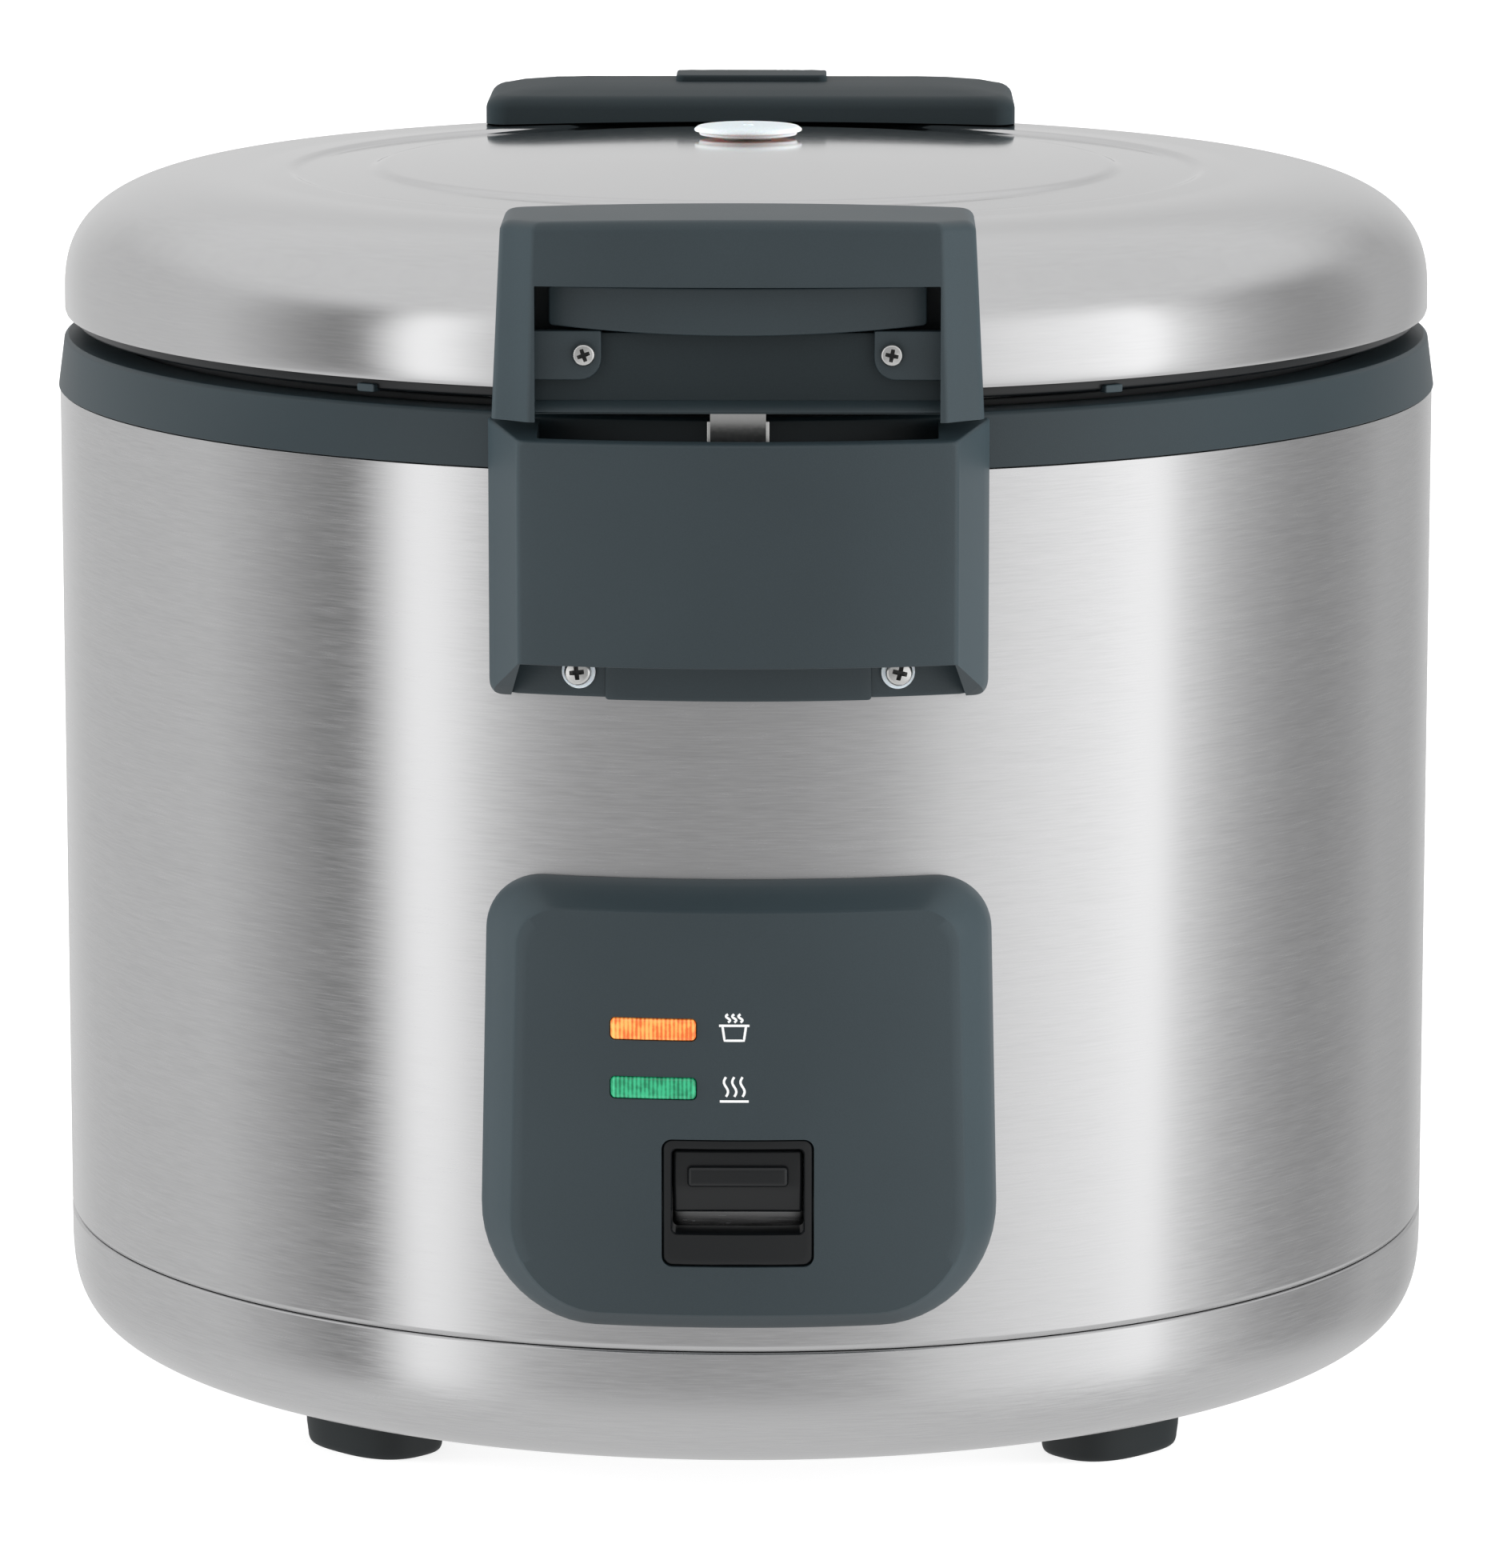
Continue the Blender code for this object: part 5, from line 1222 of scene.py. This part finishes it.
hinge_bracket()
low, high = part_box("drip_cup_holder")
holder = block("cup_holder", rectangle(low.x, high.x, low.z, high.z), [0.006] * 4,
               DRUM_R + 0.0003, DRUM_R + 0.004, 0.0012, lambda g: on_drum(g, 1))
finish_piece(holder, charcoal, "base", "dark_plastic", "drip_cup_holder")
low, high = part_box("drip_cup")
cup_levels = []
for inward, z in ((0.0022, low.z), (0.0010, low.z + 0.0004), (0.0003, low.z + 0.0014),
                  (0.0, low.z + 0.003), (0.0, high.z - 0.0012), (0.0004, high.z - 0.0003),
                  (0.0010, high.z), (0.0016, high.z - 0.0004), (0.0020, high.z - 0.0014),
                  (0.0020, low.z + 0.0040), (0.0026, low.z + 0.0026), (0.0042, low.z + 0.0020)):
    cup_levels.append((*moved_in(rectangle(low.x, high.x, low.y, high.y), [0.0045] * 4, inward), z))
cup = surface("drip_tray", stacked(cup_levels, longest=0.006))
finish_piece(cup, clear_plastic, "condensate_cup", "clear_plastic", "drip_cup", sharp=50)

low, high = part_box("power_inlet")


INLET_Z = middle_of("power_inlet", "z")
inlet = block("inlet_housing", rectangle(low.x, high.x, low.z, high.z), [0.002] * 4, low.y, high.y,
              0.0009, behind)
room = block("inlet_room", rectangle(-0.0125, 0.0125, INLET_Z - 0.008, INLET_Z + 0.008),
             [0.0012, 0.0012, 0.0045, 0.0045], DRUM_R + 0.0035, high.y + 0.01, 0.0004, behind)
finish_piece(cut_away(inlet, room), black, "base", "black_plastic", "power_inlet", sharp=35)
for i, (x, z) in enumerate(((-0.007, -0.002), (0.0, 0.002), (0.007, -0.002))):
    pin = block(f"inlet_prong_{i}", rectangle(x - 0.001, x + 0.001, INLET_Z + z - 0.0025,
                                              INLET_Z + z + 0.0025), [0.0004] * 4, DRUM_R + 0.002,
                DRUM_R + 0.0145, 0.0005, behind, steps=3)
    finish_piece(pin, brass, "base", "steel_parts")

# %% [markdown]
# ## Feet
# Each foot is a rubber block with an oval plan and a rolled lower edge.

# %% Feet


FOOT_RING, FOOT_ALONG, FOOT_ACROSS, FOOT_POWER = DRUM_R - 0.0525, 0.0225, 0.0160, 0.78


def foot(node, degrees):
    """Plan points on |a|^2.6 + |b|^2.6 = 1, narrowed at the floor by a quarter round."""
    angle = math.radians(degrees)
    out = np.array([math.sin(angle), -math.cos(angle)])
    side = np.array([out[1], -out[0]])
    t = np.linspace(0, 2 * np.pi, 72, endpoint=False)
    a = np.sign(np.cos(t)) * np.abs(np.cos(t)) ** FOOT_POWER * FOOT_ALONG
    b = np.sign(np.sin(t)) * np.abs(np.sin(t)) ** FOOT_POWER * FOOT_ACROSS
    plan = out * FOOT_RING + side * a[:, None] + out * b[:, None]
    middle = plan.mean(0)
    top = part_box(node)[1].z
    levels = [(0, 0.0), (0.80, 0.0)]
    levels += [(0.93 + 0.06 * math.sin(q), 0.0028 * (1 - math.cos(q))) for q in
               np.linspace(0, np.pi / 2, 7)]
    levels += [(1.01, 0.006), (1.03, top), (0, top)]
    rows = [np.column_stack([middle + (plan - middle) * s, np.full(len(plan), z)])
            for s, z in levels]
    finish_piece(surface(node + "_pad", np.array(rows)), foot_rubber, "base", "rubber", node,
                 sharp=50)


for node, degrees in (("foot_front_left", -44), ("foot_front_right", 44),
                      ("foot_rear_left", -136), ("foot_rear_right", 136)):
    foot(node, degrees)

# %% [markdown]
# Two small stops stand in the gap under the lid, on either side of the latch.

# %% Stops in the gap
STOP_X, STOP_R = 0.108, 0.2085
for side, word in ((-1, "left"), (1, "right")):
    angle = math.asin(side * STOP_X / STOP_R)
    out = np.array([math.sin(angle), -math.cos(angle), 0.0])
    along = np.array([math.cos(angle), math.sin(angle), 0.0])
    place = out * (STOP_R - 0.0015) + np.array([0, 0, RIM_Z + 0.0042])
    frame_of = (along, np.array([0, 0, 1.0]), out, place)
    stop = block("lid_stop_" + word, rectangle(-0.003, 0.003, -0.0012, 0.0012), [0.0006] * 4,
                 0.0, 0.0038, 0.0004, lambda g: set_on(g, frame_of))
    finish_piece(stop, charcoal, "lid", "dark_plastic")

# %% [markdown]
# ## Parts that stay as they are
# What is hidden inside keeps its plain shape from the frame, with the finish of its slot.

# %% Finishes for the frame's own parts
FINISH = {"steel_body": drum_steel, "dark_plastic": charcoal, "black_plastic": black,
          "white_plastic": milky, "clear_plastic": clear_plastic, "steel_parts": bright_steel,
          "aluminium": spun_aluminium, "rubber": foot_rubber, "silicone": gasket_rubber,
          "insulation": fibre, "orange_lens": orange_lens, "green_lens": green_lens}
for part in frame["record"]["subparts"]:
    obj = frame["nodes"][part["node"]]
    obj.data.materials.clear()
    obj.data.materials.append(FINISH[part["material_slot"]])

# %% [markdown]
# ## The studio
# The drum is a mirror smeared up and down, so what it shows is the room round the camera: soft
# boxes and dark flags at different bearings.  A ray that leaves the drum's side where its normal
# is at angle $\phi$ looks at bearing $2\phi$, so the bands on the steel are the boxes squeezed to
# half their width.  The world paints these boxes as a ramp over bearing, with a pale ceiling above
# for the lid and a pale floor below.

# %% Light boxes round the object
# bearing in degrees (0 is the front, + is to the right) and the light from there
BOXES = [(-180, 0.40), (-165, 0.42), (-144, 0.38), (-109, 0.40), (-98, 0.41), (-88, 0.33),
         (-80, 0.25), (-72, 0.17), (-66, 0.17), (-61, 0.52), (-56, 0.84), (-50, 0.78),
         (-42, 0.50), (-34, 0.34), (-25, 0.26), (-8, 0.23), (8, 0.25), (22, 0.33), (34, 0.53),
         (46, 0.64), (60, 0.74), (72, 0.88), (77, 0.60), (86, 0.40), (94, 0.30), (102, 0.24),
         (111, 0.22), (121, 0.25), (132, 0.32), (150, 0.29), (168, 0.38), (180, 0.40)]
CEILING, FLOOR = 0.84, 0.76
STRENGTH = 1.75


def studio_world():
    world = bpy.data.worlds.new("studio")
    world.use_nodes = True
    bpy.context.scene.world = world
    n = Nodes.__new__(Nodes)
    n.tree = world.node_tree
    n.tree.nodes.clear()
    x, y, z = n.split(n.add("ShaderNodeTexCoord").outputs["Generated"])
    bearing = n.math("ARCTAN2", x, n.times(y, -1.0))
    turn = n.plus(n.times(bearing, 0.5 / math.pi), 0.5)
    boxes = n.ramp(turn, [((b + 180) / 360, v) for b, v in BOXES])

    def blend(low, high, start, end):
        """Go from one light to another as the ray's rise goes from start to end."""
        mix = n.add("ShaderNodeMix", data_type="RGBA")
        n.join(n.smooth(z, start, end), mix.inputs["Factor"])
        for value, socket in ((low, mix.inputs["A"]), (high, mix.inputs["B"])):
            if isinstance(value, float):
                socket.default_value = (value, value, value, 1.0)
            else:
                n.join(value, socket)
        return mix.outputs["Result"]

    upper = blend(boxes, CEILING / STRENGTH, 0.30, 0.60)
    room = blend(FLOOR / STRENGTH, upper, -0.52, -0.28)
    light = n.add("ShaderNodeBackground")
    n.join(room, light.inputs["Color"])
    light.inputs["Strength"].default_value = STRENGTH
    white = n.add("ShaderNodeBackground")
    white.inputs["Color"].default_value = (1, 1, 1, 1)
    both = n.add("ShaderNodeMixShader")
    n.join(n.add("ShaderNodeLightPath").outputs["Is Camera Ray"], both.inputs["Fac"])
    n.join(light.outputs[0], both.inputs[1])
    n.join(white.outputs[0], both.inputs[2])
    n.join(both.outputs[0], n.add("ShaderNodeOutputWorld").inputs["Surface"])


studio_world()

# %% [markdown]
# Two wide side lights graze the mouldings.  They light matt surfaces only, and lift the cheeks
# and bevels that face sideways without touching the flat faces or the bands on the steel.

# %% Side lights
for word, bearing, power in (("left", -93, 4.8), ("right", 92, 5.6)):
    lamp_data = bpy.data.lights.new("side_light_" + word, "SUN")
    lamp_data.energy = power
    lamp_data.angle = math.radians(30)
    side_light = bpy.data.objects.new("side_light_" + word, lamp_data)
    side_light.rotation_euler = (math.radians(84), 0, math.radians(bearing))
    side_light.visible_glossy = False
    bpy.context.scene.collection.objects.link(side_light)

# %% [markdown]
# The floor is a white sweep that glows a little, as an over-lit backdrop does, so only a faint
# contact shadow is left.  Reflections skip it and see the room instead.

# %% Floor and camera


def floor_disc():
    n = Nodes("white_sweep")
    n.settings(Roughness=0.9, Emission_Color=(1.0, 1.0, 1.0), Emission_Strength=0.80)
    grain = n.noise(n.object_place(), 3.0)
    n.join(n.ramp(grain, [(0.3, 0.44), (0.7, 0.46)]), n.shader.inputs["Base Color"])
    ring = np.geomspace(0.001, 40.0, 14)
    obj = spun("floor", np.stack([ring, 0 * ring], -1), 48, closed=False)
    obj.data.materials.append(n.material)
    obj.visible_glossy = False
    obj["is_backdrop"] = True


floor_disc()
bpy.context.scene.view_settings.view_transform = "Standard"

lens = bpy.data.cameras.new("camera")
lens.lens = 185.5
lens.shift_x = 0.006
lens.clip_end = 200.0
camera = bpy.data.objects.new("camera", lens)
BEARING, DISTANCE = math.radians(0.6), 2.518
camera.location = (DISTANCE * math.sin(BEARING), -DISTANCE * math.cos(BEARING), 0.643)
camera.rotation_euler = (math.radians(90 - 10.318), 0.0, BEARING)
bpy.context.scene.collection.objects.link(camera)
bpy.context.scene.camera = camera

# %% Print the visual size and finish
low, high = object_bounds()
print("visual size:", [round(v, 4) for v in (*low, *high)])
